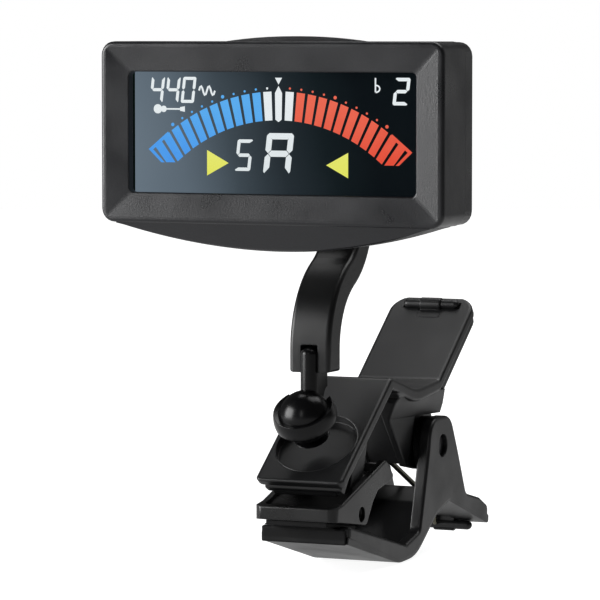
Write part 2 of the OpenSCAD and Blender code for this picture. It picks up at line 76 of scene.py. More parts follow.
def joint_at(name):
    """(y, z) of a joint's axis, in millimetres."""
    p = JOINTS[name]["pos_m"]
    return Vector((p[1], p[2])) / MM


def box_mm(node):
    lo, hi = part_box(node)
    return lo / MM, hi / MM


# ---------------------------------------------------------------- mesh helpers

class Rounded(list):
    """Outline that keeps the corners it came from, so that it can be inset cleanly."""


def points(*pairs):
    return [Vector(p) for p in pairs]


def sweep(angle, steps):
    """Angles from 0 to the given angle in even steps."""
    return [angle * k / steps for k in range(steps + 1)]


def fillet(corners, steps=6):
    """Closed 2-D outline through (a, b, radius) corners, with round corners."""
    n = len(corners)
    at = [Vector(p[:2]) for p in corners]
    out = Rounded()
    out.corners, out.steps = corners, steps
    for i, p in enumerate(corners):
        q, r = at[i], p[2]
        if r <= 0:
            out.append(q)
            continue
        u = (at[i - 1] - q).normalized()
        v = (at[(i + 1) % n] - q).normalized()
        half_turn = math.acos(max(-1, min(1, u.dot(v)))) / 2
        centre = q + (u + v).normalized() * r / math.sin(half_turn)
        start = q + u * r / math.tan(half_turn) - centre
        turn = math.copysign(math.pi - 2 * half_turn, start.cross(q - centre))
        for k in range(steps + 1):
            out.append(centre + Matrix.Rotation(turn * k / steps, 2) @ start)
    return out


def inset(outline, d):
    """Outline moved inward by d; round corners keep their centres."""
    if isinstance(outline, Rounded):
        at = [Vector(p[:2]) for p in outline.corners]
        radii = [p[2] for p in outline.corners]
    else:
        at, radii = outline, [0] * len(outline)
    n = len(at)
    area = sum(p.x * q.y - p.y * q.x for p, q in zip(at, at[1:] + at[:1]))
    sign = 1 if area > 0 else -1
    out = []
    for i, q in enumerate(at):
        e1 = (q - at[i - 1]).normalized()
        e2 = (at[(i + 1) % n] - q).normalized()
        n1 = Vector((-e1.y, e1.x)) * sign
        n2 = Vector((-e2.y, e2.x)) * sign
        convex = (e1.x * e2.y - e1.y * e2.x) * sign > 0
        r = radii[i]
        if r > 0:
            r = max(r - d, 0.004) if convex else r + d
        out.append((*(q + (n1 + n2) * d / max(0.35, 1 + n1.dot(n2))), r))
    return fillet(out, outline.steps) if isinstance(outline, Rounded) else [Vector(p[:2]) for p in out]


def side(u, v, w):
    """(y, z) outline, extruded along x."""
    return Vector((w, u, v))


def front(u, v, w):
    """(x, z) outline, extruded along y."""
    return Vector((u, w, v))


def plan(u, v, w):
    """(x, y) outline, extruded along z."""
    return Vector((u, v, w))


def leaning(at, slope):
    """Frame on a sloping face: u across, v up the slope, w out of the face."""
    c, s = math.cos(math.radians(slope)), math.sin(math.radians(slope))
    return lambda u, v, w: Vector((u, at[0] + v * c - w * s, at[1] + v * s + w * c))


def mesh_object(name, bm):
    bmesh.ops.remove_doubles(bm, verts=bm.verts, dist=1e-4)
    bmesh.ops.recalc_face_normals(bm, faces=bm.faces)
    bmesh.ops.scale(bm, vec=(MM, MM, MM), verts=bm.verts)
    mesh = bpy.data.meshes.new(name)
    bm.to_mesh(mesh)
    bm.free()
    o = bpy.data.objects.new(name, mesh)
    bpy.context.scene.collection.objects.link(o)
    return o


def skin(name, rings, closed_ends=True, loop=False):
    """Closed mesh over rings of equal length."""
    bm = bmesh.new()
    grid = [[bm.verts.new(p) for p in ring] for ring in rings]
    n = len(rings[0])
    pairs = list(zip(grid, grid[1:])) + ([(grid[-1], grid[0])] if loop else [])
    for a, b in pairs:
        for k in range(n):
            bm.faces.new((a[k], a[(k + 1) % n], b[(k + 1) % n], b[k]))
    if closed_ends and not loop:
        bm.faces.new(list(reversed(grid[0])))
        bm.faces.new(grid[-1])
    return mesh_object(name, bm)


def prism(name, outline, w0, w1, place=side, edge=0.3, edge1=None, steps=4):
    """Outline extruded from w0 to w1 with rounded rims of radius edge (edge1 at the w1 end)."""
    edge1 = edge if edge1 is None else edge1
    stack = []
    for r, w, inward in ((edge, w0, 1), (edge1, w1, -1)):
        turns = sweep(QUARTER, steps) if r > 0 else [QUARTER]
        stack.append([(inset(outline, r * (1 - math.sin(t))), w + inward * r * (1 - math.cos(t)))
                      for t in turns])
    return skin(name, [[place(p.x, p.y, w) for p in o] for o, w in stack[0] + stack[1][::-1]])


def lathe(name, profile, place, steps=72):
    """Profile of (radius, height) points turned about the w axis; a ring unless it starts on the axis."""
    turns = sweep(2 * math.pi, steps)[:-1]
    rings = [[place(r * math.cos(a), r * math.sin(a), h) for a in turns] for r, h in profile]
    return skin(name, rings, closed_ends=False, loop=profile[0][0] > 0)


def tube(name, path, radius, sides=14):
    """Round bar along a path, with rounded ends."""
    path = [Vector(p) for p in path]
    n = len(path)
    tangents = [(path[min(i + 1, n - 1)] - path[max(i - 1, 0)]).normalized() for i in range(n)]
    first, last = tangents[0], tangents[-1]
    turns = sweep(QUARTER, 4)[:-1]
    dome = [(radius * (1 - math.cos(a)), radius * max(0.05, math.sin(a))) for a in turns]
    stack = [(path[0] + first * d, first, r) for d, r in dome]
    stack.append((path[0] + first * radius, first, radius))
    stack += [(p, t, radius) for p, t in zip(path[1:-1], tangents[1:-1])]
    stack.append((path[-1] - last * radius, last, radius))
    stack += [(path[-1] - last * d, last, r) for d, r in dome[::-1]]
    up = Vector((1, 0, 0)) if abs(first.x) < 0.8 else Vector((0, 0, 1))
    rings = []
    for c, t, r in stack:
        u = t.cross(up).normalized()
        v = u.cross(t)
        rings.append([c + r * (math.cos(2 * math.pi * k / sides) * u + math.sin(2 * math.pi * k / sides) * v)
                      for k in range(sides)])
    return skin(name, rings)


def combine(target, *others, op="UNION"):
    """Exact boolean of target with the others, which are used up."""
    for other in others:
        m = target.modifiers.new("b", "BOOLEAN")
        m.operation = op
        m.solver = "EXACT"
        m.object = other
        depsgraph = bpy.context.evaluated_depsgraph_get()
        mesh = bpy.data.meshes.new_from_object(target.evaluated_get(depsgraph))
        target.modifiers.clear()
        old = target.data
        target.data = mesh
        bpy.data.meshes.remove(old)
        bpy.data.objects.remove(other)
    return target


def cut(target, *others):
    return combine(target, *others, op="DIFFERENCE")


def mirrored(o, name):
    """Mirror image of o across the clip's middle plane."""
    mesh = o.data.copy()
    mesh.transform(Matrix.Scale(-1, 4, (1, 0, 0)))
    mesh.flip_normals()
    twin = bpy.data.objects.new(name, mesh)
    bpy.context.scene.collection.objects.link(twin)
    return twin


def pair(make):
    """A piece made by make() and its mirror image."""
    one = make()
    return [one, mirrored(one, one.name + "_m")]


def flat_faces(bm, sharp):
    """Indices of the large flat faces, and of the small faces in their plane."""
    def around(f):
        return {g for e in f.edges for g in e.link_faces if g is not f}
    same_plane = 0.01
    big = {f for f in bm.faces if f.calc_area() > 6 * MM * MM}
    flat = {f for f in big
            if not any(same_plane < f.normal.angle(g.normal, 1.0) < sharp for g in around(f) & big)}
    waiting = list(flat)
    while waiting:
        f = waiting.pop()
        for g in around(f) - flat:
            if f.normal.angle(g.normal, 1.0) < same_plane:
                flat.add(g)
                waiting.append(g)
    return {f.index for f in flat}


def dress(o, body, material=None, *nodes, slot=None, sharp=34):
    """Names the body, material and replaced CAD nodes of a finished piece, and sets its shading."""
    bm = bmesh.new()
    bm.from_mesh(o.data)
    bmesh.ops.remove_doubles(bm, verts=bm.verts, dist=0.002 * MM)
    bmesh.ops.dissolve_limit(bm, angle_limit=math.radians(0.4), verts=bm.verts, edges=bm.edges,
                             delimit={"MATERIAL"})
    bm.normal_update()
    bm.faces.index_update()
    flat = flat_faces(bm, math.radians(sharp))
    bm.to_mesh(o.data)
    bm.free()
    if material:
        o.data.materials.clear()
        o.data.materials.append(material)
    o.data.set_sharp_from_angle(angle=math.radians(sharp))
    for f in o.data.polygons:
        f.use_smooth = f.index not in flat
    w = o.modifiers.new("normals", "WEIGHTED_NORMAL")
    w.keep_sharp = True
    w.weight = 100
    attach(o, body)
    if nodes:
        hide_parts(*nodes)
    return o


# ---------------------------------------------------------------- materials

def node(tree, kind, **values):
    n = tree.nodes.new(kind)
    for key, value in values.items():
        if hasattr(n, key):
            setattr(n, key, value)
        else:
            n.inputs[key.replace("_", " ")].default_value = value
    return n


def maths(tree, operation, *values, kind="ShaderNodeMath"):
    """Outputs of a maths node whose values are numbers or sockets."""
    n = node(tree, kind, operation=operation)
    for socket, value in zip(n.inputs, values):
        if isinstance(value, bpy.types.NodeSocket):
            tree.links.new(value, socket)
        else:
            socket.default_value = value
    return n.outputs


def ranged(tree, value, from_min, from_max, to_min, to_max):
    """Output that carries value from one range over to another."""
    n = node(tree, "ShaderNodeMapRange", From_Min=from_min, From_Max=from_max, To_Min=to_min, To_Max=to_max)
    tree.links.new(value, n.inputs["Value"])
    return n.outputs[0]


def blank(name):
    """New material with its node tree, its main shader and the place on the object."""
    m = bpy.data.materials.new(name)
    m.use_nodes = True
    place = m.node_tree.nodes.new("ShaderNodeTexCoord").outputs["Object"]
    return m, m.node_tree, m.node_tree.nodes["Principled BSDF"], place


def noise(tree, place, size, detail):
    """Noise with features of the given size in millimetres."""
    n = node(tree, "ShaderNodeTexNoise", Scale=1 / (size * MM), Detail=detail)
    tree.links.new(place, n.inputs["Vector"])
    return n.outputs["Fac"]


BLOTCH = 9  # size of the blotches in tone and roughness
GRAIN_DEPTH = 0.03


def finish_material(name, color, rough, grain=0.22, bump=0.25, edge=0.22, wear_and_highlight=0.35, spread=0.12,
                    metallic=0.0, rough_spread=0.08, specular=0.5):
    """Moulded or metal surface: fine grain, blotchy tone and roughness, and rounded edges painted lighter, as
    soft wear and as a painted edge highlight.
    """
    m, t, bsdf, place = blank(name)
    fine = noise(t, place, grain, 3.0)
    broad = noise(t, place, BLOTCH, 4.0)
    # Tone: blotches, then fine grain, then rounded edges painted lighter as wear and as a painted edge
    # highlight
    tone = ranged(t, broad, 0.3, 0.7, 1 - spread, 1 + spread)
    speck = ranged(t, fine, 0.25, 0.75, 1 - spread, 1 + spread)
    rounded = node(t, "ShaderNodeBevel", samples=4, Radius=edge * MM).outputs["Normal"]
    plain = t.nodes.new("ShaderNodeNewGeometry").outputs["Normal"]
    facing = maths(t, "DOT_PRODUCT", rounded, plain, kind="ShaderNodeVectorMath")["Value"]
    edge_wear_and_highlight = ranged(t, facing, 1.0, 0.75, 1.0, 1 + wear_and_highlight)
    total = maths(t, "MULTIPLY", maths(t, "MULTIPLY", tone, speck)[0], edge_wear_and_highlight)[0]
    paint = node(t, "ShaderNodeVectorMath", operation="SCALE")
    paint.inputs[0].default_value = color
    t.links.new(total, paint.inputs["Scale"])
    t.links.new(paint.outputs[0], bsdf.inputs["Base Color"])
    rough_here = ranged(t, broad, 0.3, 0.7, rough - rough_spread, rough + rough_spread)
    t.links.new(rough_here, bsdf.inputs["Roughness"])
    relief = node(t, "ShaderNodeBump", Strength=bump, Distance=GRAIN_DEPTH * MM)
    t.links.new(fine, relief.inputs["Height"])
    t.links.new(rounded, relief.inputs["Normal"])
    t.links.new(relief.outputs["Normal"], bsdf.inputs["Normal"])
    bsdf.inputs["Metallic"].default_value = metallic
    bsdf.inputs["Specular IOR Level"].default_value = specular
    return m


def lit_only(bsdf, color_output, base, rough):
    """Makes a shader shine in a colour, with no gloss of its own."""
    bsdf.id_data.links.new(color_output, bsdf.inputs["Emission Color"])
    bsdf.inputs["Emission Strength"].default_value = 1.0
    bsdf.inputs["Base Color"].default_value = (*base, 1)
    bsdf.inputs["Roughness"].default_value = rough
    bsdf.inputs["Specular IOR Level"].default_value = 0.0


def glowing(name, low, high, z0, z1):
    """Lit display segment whose colour runs from low at height z0 to high at z1."""
    m, t, bsdf, place = blank(name)
    split = t.nodes.new("ShaderNodeSeparateXYZ")
    t.links.new(place, split.inputs[0])
    rise = ranged(t, split.outputs["Z"], z0 * MM, z1 * MM, 0.0, 1.0)
    share = maths(t, "MULTIPLY_ADD", noise(t, place, 1.6, 2.0), 0.5, rise)[0]
    mix = node(t, "ShaderNodeMix", data_type="RGBA")
    colors = [i for i in mix.inputs if i.type == "RGBA"]
    colors[0].default_value = (*low, 1)
    colors[1].default_value = (*high, 1)
    t.links.new(share, mix.inputs["Factor"])
    lit_only(bsdf, [o for o in mix.outputs if o.type == "RGBA"][0], (0, 0, 0), 0.4)
    return m


case_plastic = finish_material("case_plastic", (0.014, 0.0145, 0.0165), 0.33, grain=0.3, bump=0.5)
# Darker copy of the case plastic for the walls inside the window opening: painted shade in the recess.
case_painted_shade = finish_material("case_painted_shade", (0.012, 0.012, 0.013), 0.35, grain=0.2, bump=0.1)
arm_plastic = finish_material("arm_plastic", (0.0075, 0.0077, 0.008), 0.34, grain=0.18, bump=0.3)
jaw_plastic = finish_material("jaw_plastic", (0.009, 0.0092, 0.0098), 0.36, grain=0.2, bump=0.25, edge=0.3)
tray_plastic = finish_material("tray_plastic", (0.0035, 0.0036, 0.0038), 0.30, grain=0.2, bump=0.3)
gloss_black = finish_material("gloss_black", (0.004, 0.004, 0.0045), 0.24, grain=0.5, bump=0.02, wear_and_highlight=0.1,
                              rough_spread=0.03, specular=0.3)
pad_rubber = finish_material("pad_rubber", (0.004, 0.004, 0.0043), 0.6, grain=0.35, bump=0.5, edge=0.3,
                             specular=0.22)
bright_steel = finish_material("bright_steel", (0.62, 0.62, 0.64), 0.28, metallic=1.0, bump=0.08, wear_and_highlight=0.1)
dark_steel = finish_material("dark_steel", (0.10, 0.10, 0.105), 0.36, metallic=1.0, bump=0.1, wear_and_highlight=0.4)
spring_wire = finish_material("spring_wire", (0.15, 0.145, 0.115), 0.32, metallic=1.0, bump=0.15)
brass = finish_material("piezo_brass", (0.62, 0.43, 0.16), 0.3, metallic=1.0, bump=0.1)
board_green = finish_material("board", (0.012, 0.10, 0.045), 0.4, grain=0.6, bump=0.1)
chip_black = finish_material("chip", (0.016, 0.016, 0.018), 0.55)
washer_nylon = finish_material("washer_nylon", (0.62, 0.60, 0.52), 0.5)
button_red = finish_material("button_red", (0.30, 0.02, 0.015), 0.42)
button_grey = finish_material("button_grey", (0.09, 0.092, 0.098), 0.45)
zebra_rubber = finish_material("zebra_rubber", (0.36, 0.20, 0.22), 0.6)
guide_clear = finish_material("guide_clear", (0.82, 0.86, 0.88), 0.25, spread=0.03)


def screen_material():
    """Unlit part of the display, drawn as glow: a soft, painted diagonal reflection runs from pale at the left
    to near black at the right.
    """
    m, t, bsdf, place = blank("screen")
    slant, reach = 0.22, 26
    split = t.nodes.new("ShaderNodeSeparateXYZ")
    t.links.new(place, split.inputs[0])
    across = maths(t, "MULTIPLY_ADD", split.outputs["Z"], slant, split.outputs["X"])[0]
    middle = slant * HEAD_Z
    share = ranged(t, across, (middle - reach) * MM, (middle + reach) * MM, 0.0, 1.0)
    ramp = t.nodes.new("ShaderNodeValToRGB")
    stops = ((0.0, (0.21, 0.255, 0.30)), (0.2, (0.155, 0.19, 0.225)), (0.38, (0.075, 0.095, 0.112)),
             (0.55, (0.030, 0.040, 0.048)), (0.72, (0.008, 0.015, 0.018)), (0.86, (0.002, 0.005, 0.007)))
    ramp.color_ramp.elements.remove(ramp.color_ramp.elements[0])
    for k, (position, color) in enumerate(stops):
        e = ramp.color_ramp.elements[0] if k == 0 else ramp.color_ramp.elements.new(position)
        e.position = position
        e.color = (*color, 1)
    t.links.new(maths(t, "MULTIPLY_ADD", noise(t, place, 14, 1.0), 0.10, share)[0], ramp.inputs[0])
    lit_only(bsdf, ramp.outputs[0], (0.004, 0.005, 0.006), 0.5)
    return m


def glass_material():
    """Thin clear window: mostly see-through with a faint gloss."""
    m, t, bsdf, place = blank("window")
    t.nodes.remove(bsdf)
    clear = t.nodes.new("ShaderNodeBsdfTransparent")
    clear.inputs[0].default_value = (0.97, 0.985, 0.99, 1)
    gloss = node(t, "ShaderNodeBsdfGlossy", Roughness=0.05)
    mix = t.nodes.new("ShaderNodeMixShader")
    t.links.new(ranged(t, noise(t, place, 6, 2.0), 0.0, 1.0, 0.008, 0.022), mix.inputs[0])
    t.links.new(clear.outputs[0], mix.inputs[1])
    t.links.new(gloss.outputs[0], mix.inputs[2])
    t.links.new(mix.outputs[0], t.nodes["Material Output"].inputs["Surface"])
    return m


# ---------------------------------------------------------------- head

CASE_LO, CASE_HI = box_mm("front_case")
FACE_Y, SEAM_Y = CASE_LO.y, CASE_HI.y
HEAD_W = CASE_HI.x - CASE_LO.x
CHIN_DROP = 4.4
HEAD_H = CASE_HI.z - CASE_LO.z - CHIN_DROP
HEAD_Z = CASE_HI.z - HEAD_H / 2
BOTTOM_Z = HEAD_Z - HEAD_H / 2
CAVITY_Y = FACE_Y + 2
WINDOW_W, WINDOW_H = 49.6, 19.2
BEZEL_DROP = 0.45
CHIN_R = 86
RIM_EDGE = 0.6
CASE_R = 2.2
WALL = 1.4


def panel_ring(w, h, r, y):
    r = max(r, 0.02)
    corners = [(-w / 2, -h / 2, r), (w / 2, -h / 2, r), (w / 2, h / 2, r), (-w / 2, h / 2, r)]
    return [Vector((p.x, y, HEAD_Z + p.y)) for p in fillet(corners)]


def chin(name, half_span, top, y_front, y_back, slant, edge):
    """Part below the case: its lower edge is a long arc and its front slants back."""
    rings = []
    for i in range(49):
        x = half_span * (i / 24 - 1)
        drop = max(0.12, CHIN_DROP - (CHIN_R - math.sqrt(CHIN_R ** 2 - x * x)))
        low = top - drop
        share = drop / CHIN_DROP
        back = y_front + slant * share
        rings.append([Vector((x, *p)) for p in (
            (y_front + 0.25, top + 1.0), (y_front, top + 0.1), (y_front + 0.1, top - 0.05 * share),
            (back - 0.25 * share, low + edge * share), (back + 0.35 * share, low + 0.08 * share),
            (back + 1.0, low), (y_back, low), (y_back, top + 1.0))])
    return skin(name, rings)


def build_front_case():
    w, h = HEAD_W, HEAD_H
    rings = [panel_ring(w, h, CASE_R, SEAM_Y), panel_ring(w, h, CASE_R, FACE_Y + RIM_EDGE + 0.3)]
    for t in sweep(QUARTER, 5)[1:]:
        d = RIM_EDGE * (1 - math.cos(t))
        rings.append(panel_ring(w - 2 * d, h - 2 * d, CASE_R - d, FACE_Y + RIM_EDGE * (1 - math.sin(t))))
    rings.append(panel_ring(w - 1.9, h - 1.9, 0.5, FACE_Y))
    rings.append(panel_ring(w - 2.1, h - 2.1, 0.35, FACE_Y + 0.03))
    rings.append(panel_ring(WINDOW_W + 0.3, WINDOW_H + 0.3, 0.7, FACE_Y + BEZEL_DROP - 0.01))
    rings.append(panel_ring(WINDOW_W, WINDOW_H, 0.75, FACE_Y + BEZEL_DROP + 0.12))
    rings.append(panel_ring(WINDOW_W, WINDOW_H, 0.75, CAVITY_Y))
    rings.append(panel_ring(w - 2 * WALL, h - 2 * WALL, 1.0, CAVITY_Y))
    rings.append(panel_ring(w - 2 * WALL, h - 2 * WALL, 1.0, SEAM_Y))
    o = skin("front_shell", rings, loop=True)
    o = combine(o, chin("chin", 27.1, BOTTOM_Z, FACE_Y + 0.35, SEAM_Y, 3.3, 0.45))
    o.name = "front_shell"
    for mat in (case_plastic, case_painted_shade):
        o.data.materials.append(mat)
    # Walls inside the window opening take the darker copy of the case plastic: painted shade in the recess.
    wall_x, wall_z = WINDOW_W / 2 + 0.05, WINDOW_H / 2 + 0.05
    for f in o.data.polygons:
        c = f.center / MM
        in_window = abs(c.x) < wall_x and abs(c.z - HEAD_Z) < wall_z
        f.material_index = 1 if in_window and c.y > FACE_Y + BEZEL_DROP + 0.14 else 0
    return dress(o, "head", None, "front_case", slot="case_plastic", sharp=30)


build_front_case()

# Display ---------------------------------------------------------------
# Everything lit is a thin plate just in front of the panel, placed from the middle of the opening.

INK_Y = box_mm("lcd_panel")[0].y - 0.012
INK_T = 0.02
MIDDLE_X = 0.3
ARC_TOP_R = 31.1
ARC_TOP_Z = 6.55
BAR_STEP = math.radians(3.58)
BAR_LEAN = 0.86
BAR_W = 1.44
BAR_TALL = 4.55
DIGIT_SLANT = 0.12


def ink(name, outlines, material):
    """Flat lit shapes; outlines are (x, z) from the middle of the opening."""
    bm = bmesh.new()
    for outline in outlines:
        n = len(outline)
        a = [bm.verts.new((p[0], INK_Y, HEAD_Z + p[1])) for p in outline]
        b = [bm.verts.new((p[0], INK_Y - INK_T, HEAD_Z + p[1])) for p in outline]
        bm.faces.new(a)
        bm.faces.new(list(reversed(b)))
        for k in range(n):
            bm.faces.new((a[k], b[k], b[(k + 1) % n], a[(k + 1) % n]))
    o = mesh_object(name, bm)
    o.data.materials.append(material)
    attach(o, "head")
    return o


def bar(i, narrow=0.1):
    """Bar i of the arc; it is narrower by that share at its lower end."""
    theta = BAR_STEP * i
    lean = theta * BAR_LEAN
    top = Vector((MIDDLE_X + ARC_TOP_R * math.sin(theta), ARC_TOP_Z - ARC_TOP_R * (1 - math.cos(theta))))
    down = Vector((-math.sin(lean), -math.cos(lean)))
    side_way = Vector((math.cos(theta), -math.sin(theta)))
    pts = []
    for s, a in ((0, -0.5), (0, 0.5), (1, 0.5), (1, -0.5)):
        pts.append(top + down * BAR_TALL * s + side_way * BAR_W * a * (1 - narrow * s))
    return pts


def clip_below(outline, floor_z):
    """Cuts a convex outline off below a level."""
    out = []
    for a, b in zip(outline, outline[1:] + outline[:1]):
        if a.y >= floor_z:
            out.append(a)
        if (a.y - floor_z) * (b.y - floor_z) < 0:
            out.append(a.lerp(b, (a.y - floor_z) / (a.y - b.y)))
    return out


def disc(x, z, r, n=16):
    return [Vector((x + r * math.cos(a), z + r * math.sin(a))) for a in sweep(2 * math.pi, n)[:-1]]


def dot(i):
    theta = BAR_STEP * i
    big = abs(i) in (5, 10)
    r = ARC_TOP_R + (0.62 if big else 0.52)
    centre = (MIDDLE_X + r * math.sin(theta), ARC_TOP_Z - ARC_TOP_R + r * math.cos(theta))
    return disc(*centre, 0.29 if big else 0.19)


def arrow_end(s):
    """Bent outline round the outermost bar; s is the side, -1 or 1."""
    def at(x, z):
        return Vector((MIDDLE_X + s * x, z))
    tip = [at(19.4, 0.05), at(22.85, -2.78), at(20.6, -4.88),
           at(20.0, -4.88), at(22.05, -2.82), at(19.15, -0.45)]
    return [tip] if s < 0 else [tip[::-1]]


# Lit strokes of each sign: top, upper right, lower right, bottom, lower left, upper left, middle
SEGMENTS = {
    "0": (1, 1, 1, 1, 1, 1, 0), "2": (1, 1, 0, 1, 1, 0, 1), "4": (0, 1, 1, 0, 0, 1, 1),
    "5": (1, 0, 1, 1, 0, 1, 1), "A": (1, 1, 1, 0, 1, 1, 1)}


def digit(sign, x, z, w, h, stroke, gap):
    """Slanted seven-stroke sign; x, z is the middle of its lower edge."""
    hw, hh, s, g = w / 2, h / 2, stroke, gap
    bevel = s / 2

    def lying(cz):
        a, b = bevel + g - hw, hw - bevel - g
        return [(a, cz), (a + bevel, cz + bevel), (b - bevel, cz + bevel), (b, cz), (b - bevel, cz - bevel),
                (a + bevel, cz - bevel)]

    def top_stroke(cz, up):
        a, b = -hw + g, hw - g
        o, i = cz + up * bevel, cz - up * bevel
        return [(a + 0.35 * s, o), (b - 0.35 * s, o), (b - 0.05 * s, o - up * 0.35 * s),
                (b - s, i), (a + s, i), (a + 0.05 * s, o - up * 0.35 * s)]

    def standing(cx, lo, hi, out):
        a, b = lo + g, hi - g
        o, i = cx + out * bevel, cx - out * bevel
        if hi > hh + 0.1:
            return [(o, a + bevel), (o, b - 0.4 * s), (o - out * 0.2 * s, b - 0.1 * s), (i, b - s),
                    (i, a + bevel), (cx, a)]
        return [(o, b - bevel), (cx, b), (i, b - bevel), (i, a + s), (o - out * 0.2 * s, a + 0.1 * s),
                (o, a + 0.4 * s)]

    strokes = (top_stroke(h - bevel, 1), standing(hw - bevel, hh, h, 1), standing(hw - bevel, 0, hh, 1),
               top_stroke(bevel, -1), standing(-hw + bevel, 0, hh, -1), standing(-hw + bevel, hh, h, -1),
               lying(hh))
    out = []
    for lit, outline in zip(SEGMENTS[sign], strokes):
        if lit:
            out.append([Vector((x + p[0] + DIGIT_SLANT * (p[1] - hh), z + p[1])) for p in outline])
    return out


def strip(path, width):
    """Flat line of even width along a path."""
    pts = points(*path)
    left, right = [], []
    for i, p in enumerate(pts):
        d = (pts[min(i + 1, len(pts) - 1)] - pts[max(i - 1, 0)]).normalized()
        n = Vector((-d.y, d.x)) * width / 2
        left.append(p + n)
        right.append(p - n)
    return left + right[::-1]


def quads(outline):
    """Splits a strip outline into four-cornered pieces, so that none is concave."""
    n = len(outline) // 2
    left, right = outline[:n], outline[n:][::-1]
    return [[left[i], left[i + 1], right[i + 1], right[i]] for i in range(n - 1)]


white_ink = glowing("white_ink", (0.80, 0.83, 0.84), (0.90, 0.92, 0.93), 58, 74)
blue_ink = glowing("blue_ink", (0.10, 0.36, 0.88), (0.16, 0.50, 0.92), 60, 72)
red_ink = glowing("red_ink", (0.85, 0.10, 0.055), (0.92, 0.20, 0.13), 60, 72)
yellow_ink = glowing("yellow_ink", (0.86, 0.84, 0.14), (0.88, 0.87, 0.22), 57, 63)

FLOOR_Z = -4.85
blue = [clip_below(bar(-i, narrow=0.12), FLOOR_Z) for i in range(2, 13)]
red = [clip_below(bar(i, narrow=0.12), FLOOR_Z) for i in range(2, 13)]
blue += arrow_end(-1) + [dot(-i) for i in range(2, 11)]
red += arrow_end(1) + [dot(i) for i in range(1, 11)]
needle = [(-0.62, 6.3), (0, 7.42), (0.62, 6.3), (0.55, 2.1), (0, 1.72), (-0.55, 2.1)]
white = [bar(-1), bar(1), dot(-1)]
white.append([Vector((MIDDLE_X + a, b)) for a, b in needle])
white.append([Vector((MIDDLE_X + a, b)) for a, b in ((-0.62, 8.7), (0.62, 8.7), (0, 7.62))])
for k, sign in enumerate("440"):
    white += digit(sign, -21.0 + 2.78 * k, 4.62, 2.35, 4.15, 0.50, gap=0.04)
white += digit("5", -5.72, -6.05, 2.75, 5.0, 0.56, gap=0.04)
white += digit("A", 0.3, -6.5, 4.7, 6.5, 1.0, gap=0.06)
white += digit("2", 21.3, 4.5, 2.6, 4.3, 0.56, gap=0.04)
# Pitch mark: a small wave; instrument mark: a body, neck and head; flat mark: a stem and bowl
wave = [(-13.6 + 0.2 * k, 6.6 + 0.75 * math.sin(2 * math.pi * k / 7)) for k in range(15)]
white += quads(strip(wave, 0.32))
white += [disc(-20.9, 3.65, 0.75), disc(-19.85, 3.65, 0.52)]
white += quads(strip([(-19.5, 3.65), (-16.9, 3.65)], 0.26))
white.append(points((-16.95, 3.35), (-16.1, 3.2), (-16.1, 4.1), (-16.95, 3.95)))
white += quads(strip([(16.9, 8.75), (16.9, 6.5)], 0.26))
bowl = [(16.95 + 0.62 * math.sin(a) * 1.1, 7.05 + 0.55 * math.cos(a)) for a in sweep(math.pi, 8)]
white += quads(strip(bowl, 0.26))
ink("lit_white", white, white_ink)
ink("lit_blue", blue, blue_ink)
ink("lit_red", red, red_ink)
ink("lit_yellow", [points((-12.2, -2.8), (-12.2, -6.86), (-8.4, -4.83)),
                   points((12.28, -2.95), (12.28, -6.95), (8.5, -4.95))], yellow_ink)


# ---------------------------------------------------------------- CAD nodes that are shown as they are

shown_cad = {
    glass_material(): ["display_window"],
    screen_material(): ["lcd_panel"],
    guide_clear: ["light_guide"],
    zebra_rubber: ["zebra_strips"],
    board_green: ["circuit_board"],
    chip_black: ["tuner_chip"],
    brass: ["piezo_disc"],
    bright_steel: ["dome_switches", "negative_contact", "positive_contact", "coin_cell", "tilt_pin"],
    case_plastic: ["battery_cover", "rear_case"],
    button_red: ["power_button"],
    button_grey: ["mode_button", "pitch_button"],
    dark_steel: ["case_screws", "tray_pin"],
    washer_nylon: ["friction_washers"],
    gloss_black: ["seat_ring", "seat_cup"]}
for material, names in shown_cad.items():
    for name in names:
        frame["nodes"][name].data.materials.clear()
        frame["nodes"][name].data.materials.append(material)


# ---------------------------------------------------------------- arm and ball

ARM_LO, ARM_HI = box_mm("arm")
HINGE = joint_at("head_tilt")
ARM_W = ARM_HI.x - ARM_LO.x
ARM_T = 4.7
FOOT_Y, FOOT_TOP = -3.7, 29.6
LOWER_BEND_R, ARM_LEAN = 13.5, math.radians(62)
KNUCKLE_R, KNUCKLE_W = 3.2, 6.4
STEM_R = 1.45
STEM_FRONT, STEM_BACK = -5.85, -1.95
STEM_TOP = box_mm("ball_stem")[1].z
BALL = joint_at("ball_tilt")
BALL_R = BALL.y - box_mm("ball_stem")[0].z


def wheel(centre, r, x0, x1, edge=0.0, sides=48):
    """Round disc or pin across the clip about a (y, z) centre."""
    return prism("wheel", disc(centre.x, centre.y, r, sides), x0, x1, side, edge)


def arm_edges():
    """Side outline of the arm: a straight foot, a lower bend, then an upper bend into the hinge."""
    join = Vector((FOOT_Y + LOWER_BEND_R * (1 - math.cos(ARM_LEAN)),
                   FOOT_TOP + LOWER_BEND_R * math.sin(ARM_LEAN)))
    upper_r = (HINGE.y - join.y) / (1 + math.sin(ARM_LEAN))
    upper = Vector((join.x - upper_r * math.cos(ARM_LEAN), HINGE.y - upper_r))
    lower = Vector((FOOT_Y + LOWER_BEND_R, FOOT_TOP))
    sides = []
    for s in (-1, 1):  # -1 is the outer side of the lower bend
        edge = [Vector((FOOT_Y + s * ARM_T / 2, ARM_LO.z))]
        for a in sweep(ARM_LEAN, 18):
            edge.append(lower + (LOWER_BEND_R - s * ARM_T / 2) * Vector((-math.cos(a), math.sin(a))))
        for a in sweep(QUARTER + ARM_LEAN, 36)[1:]:
            edge.append(upper + (upper_r + s * ARM_T / 2)
                        * Vector((math.cos(a - ARM_LEAN), math.sin(a - ARM_LEAN))))
        edge.append(Vector((HINGE.x, HINGE.y + s * ARM_T / 2)))
        sides.append(edge)
    return sides[0] + sides[1][::-1]


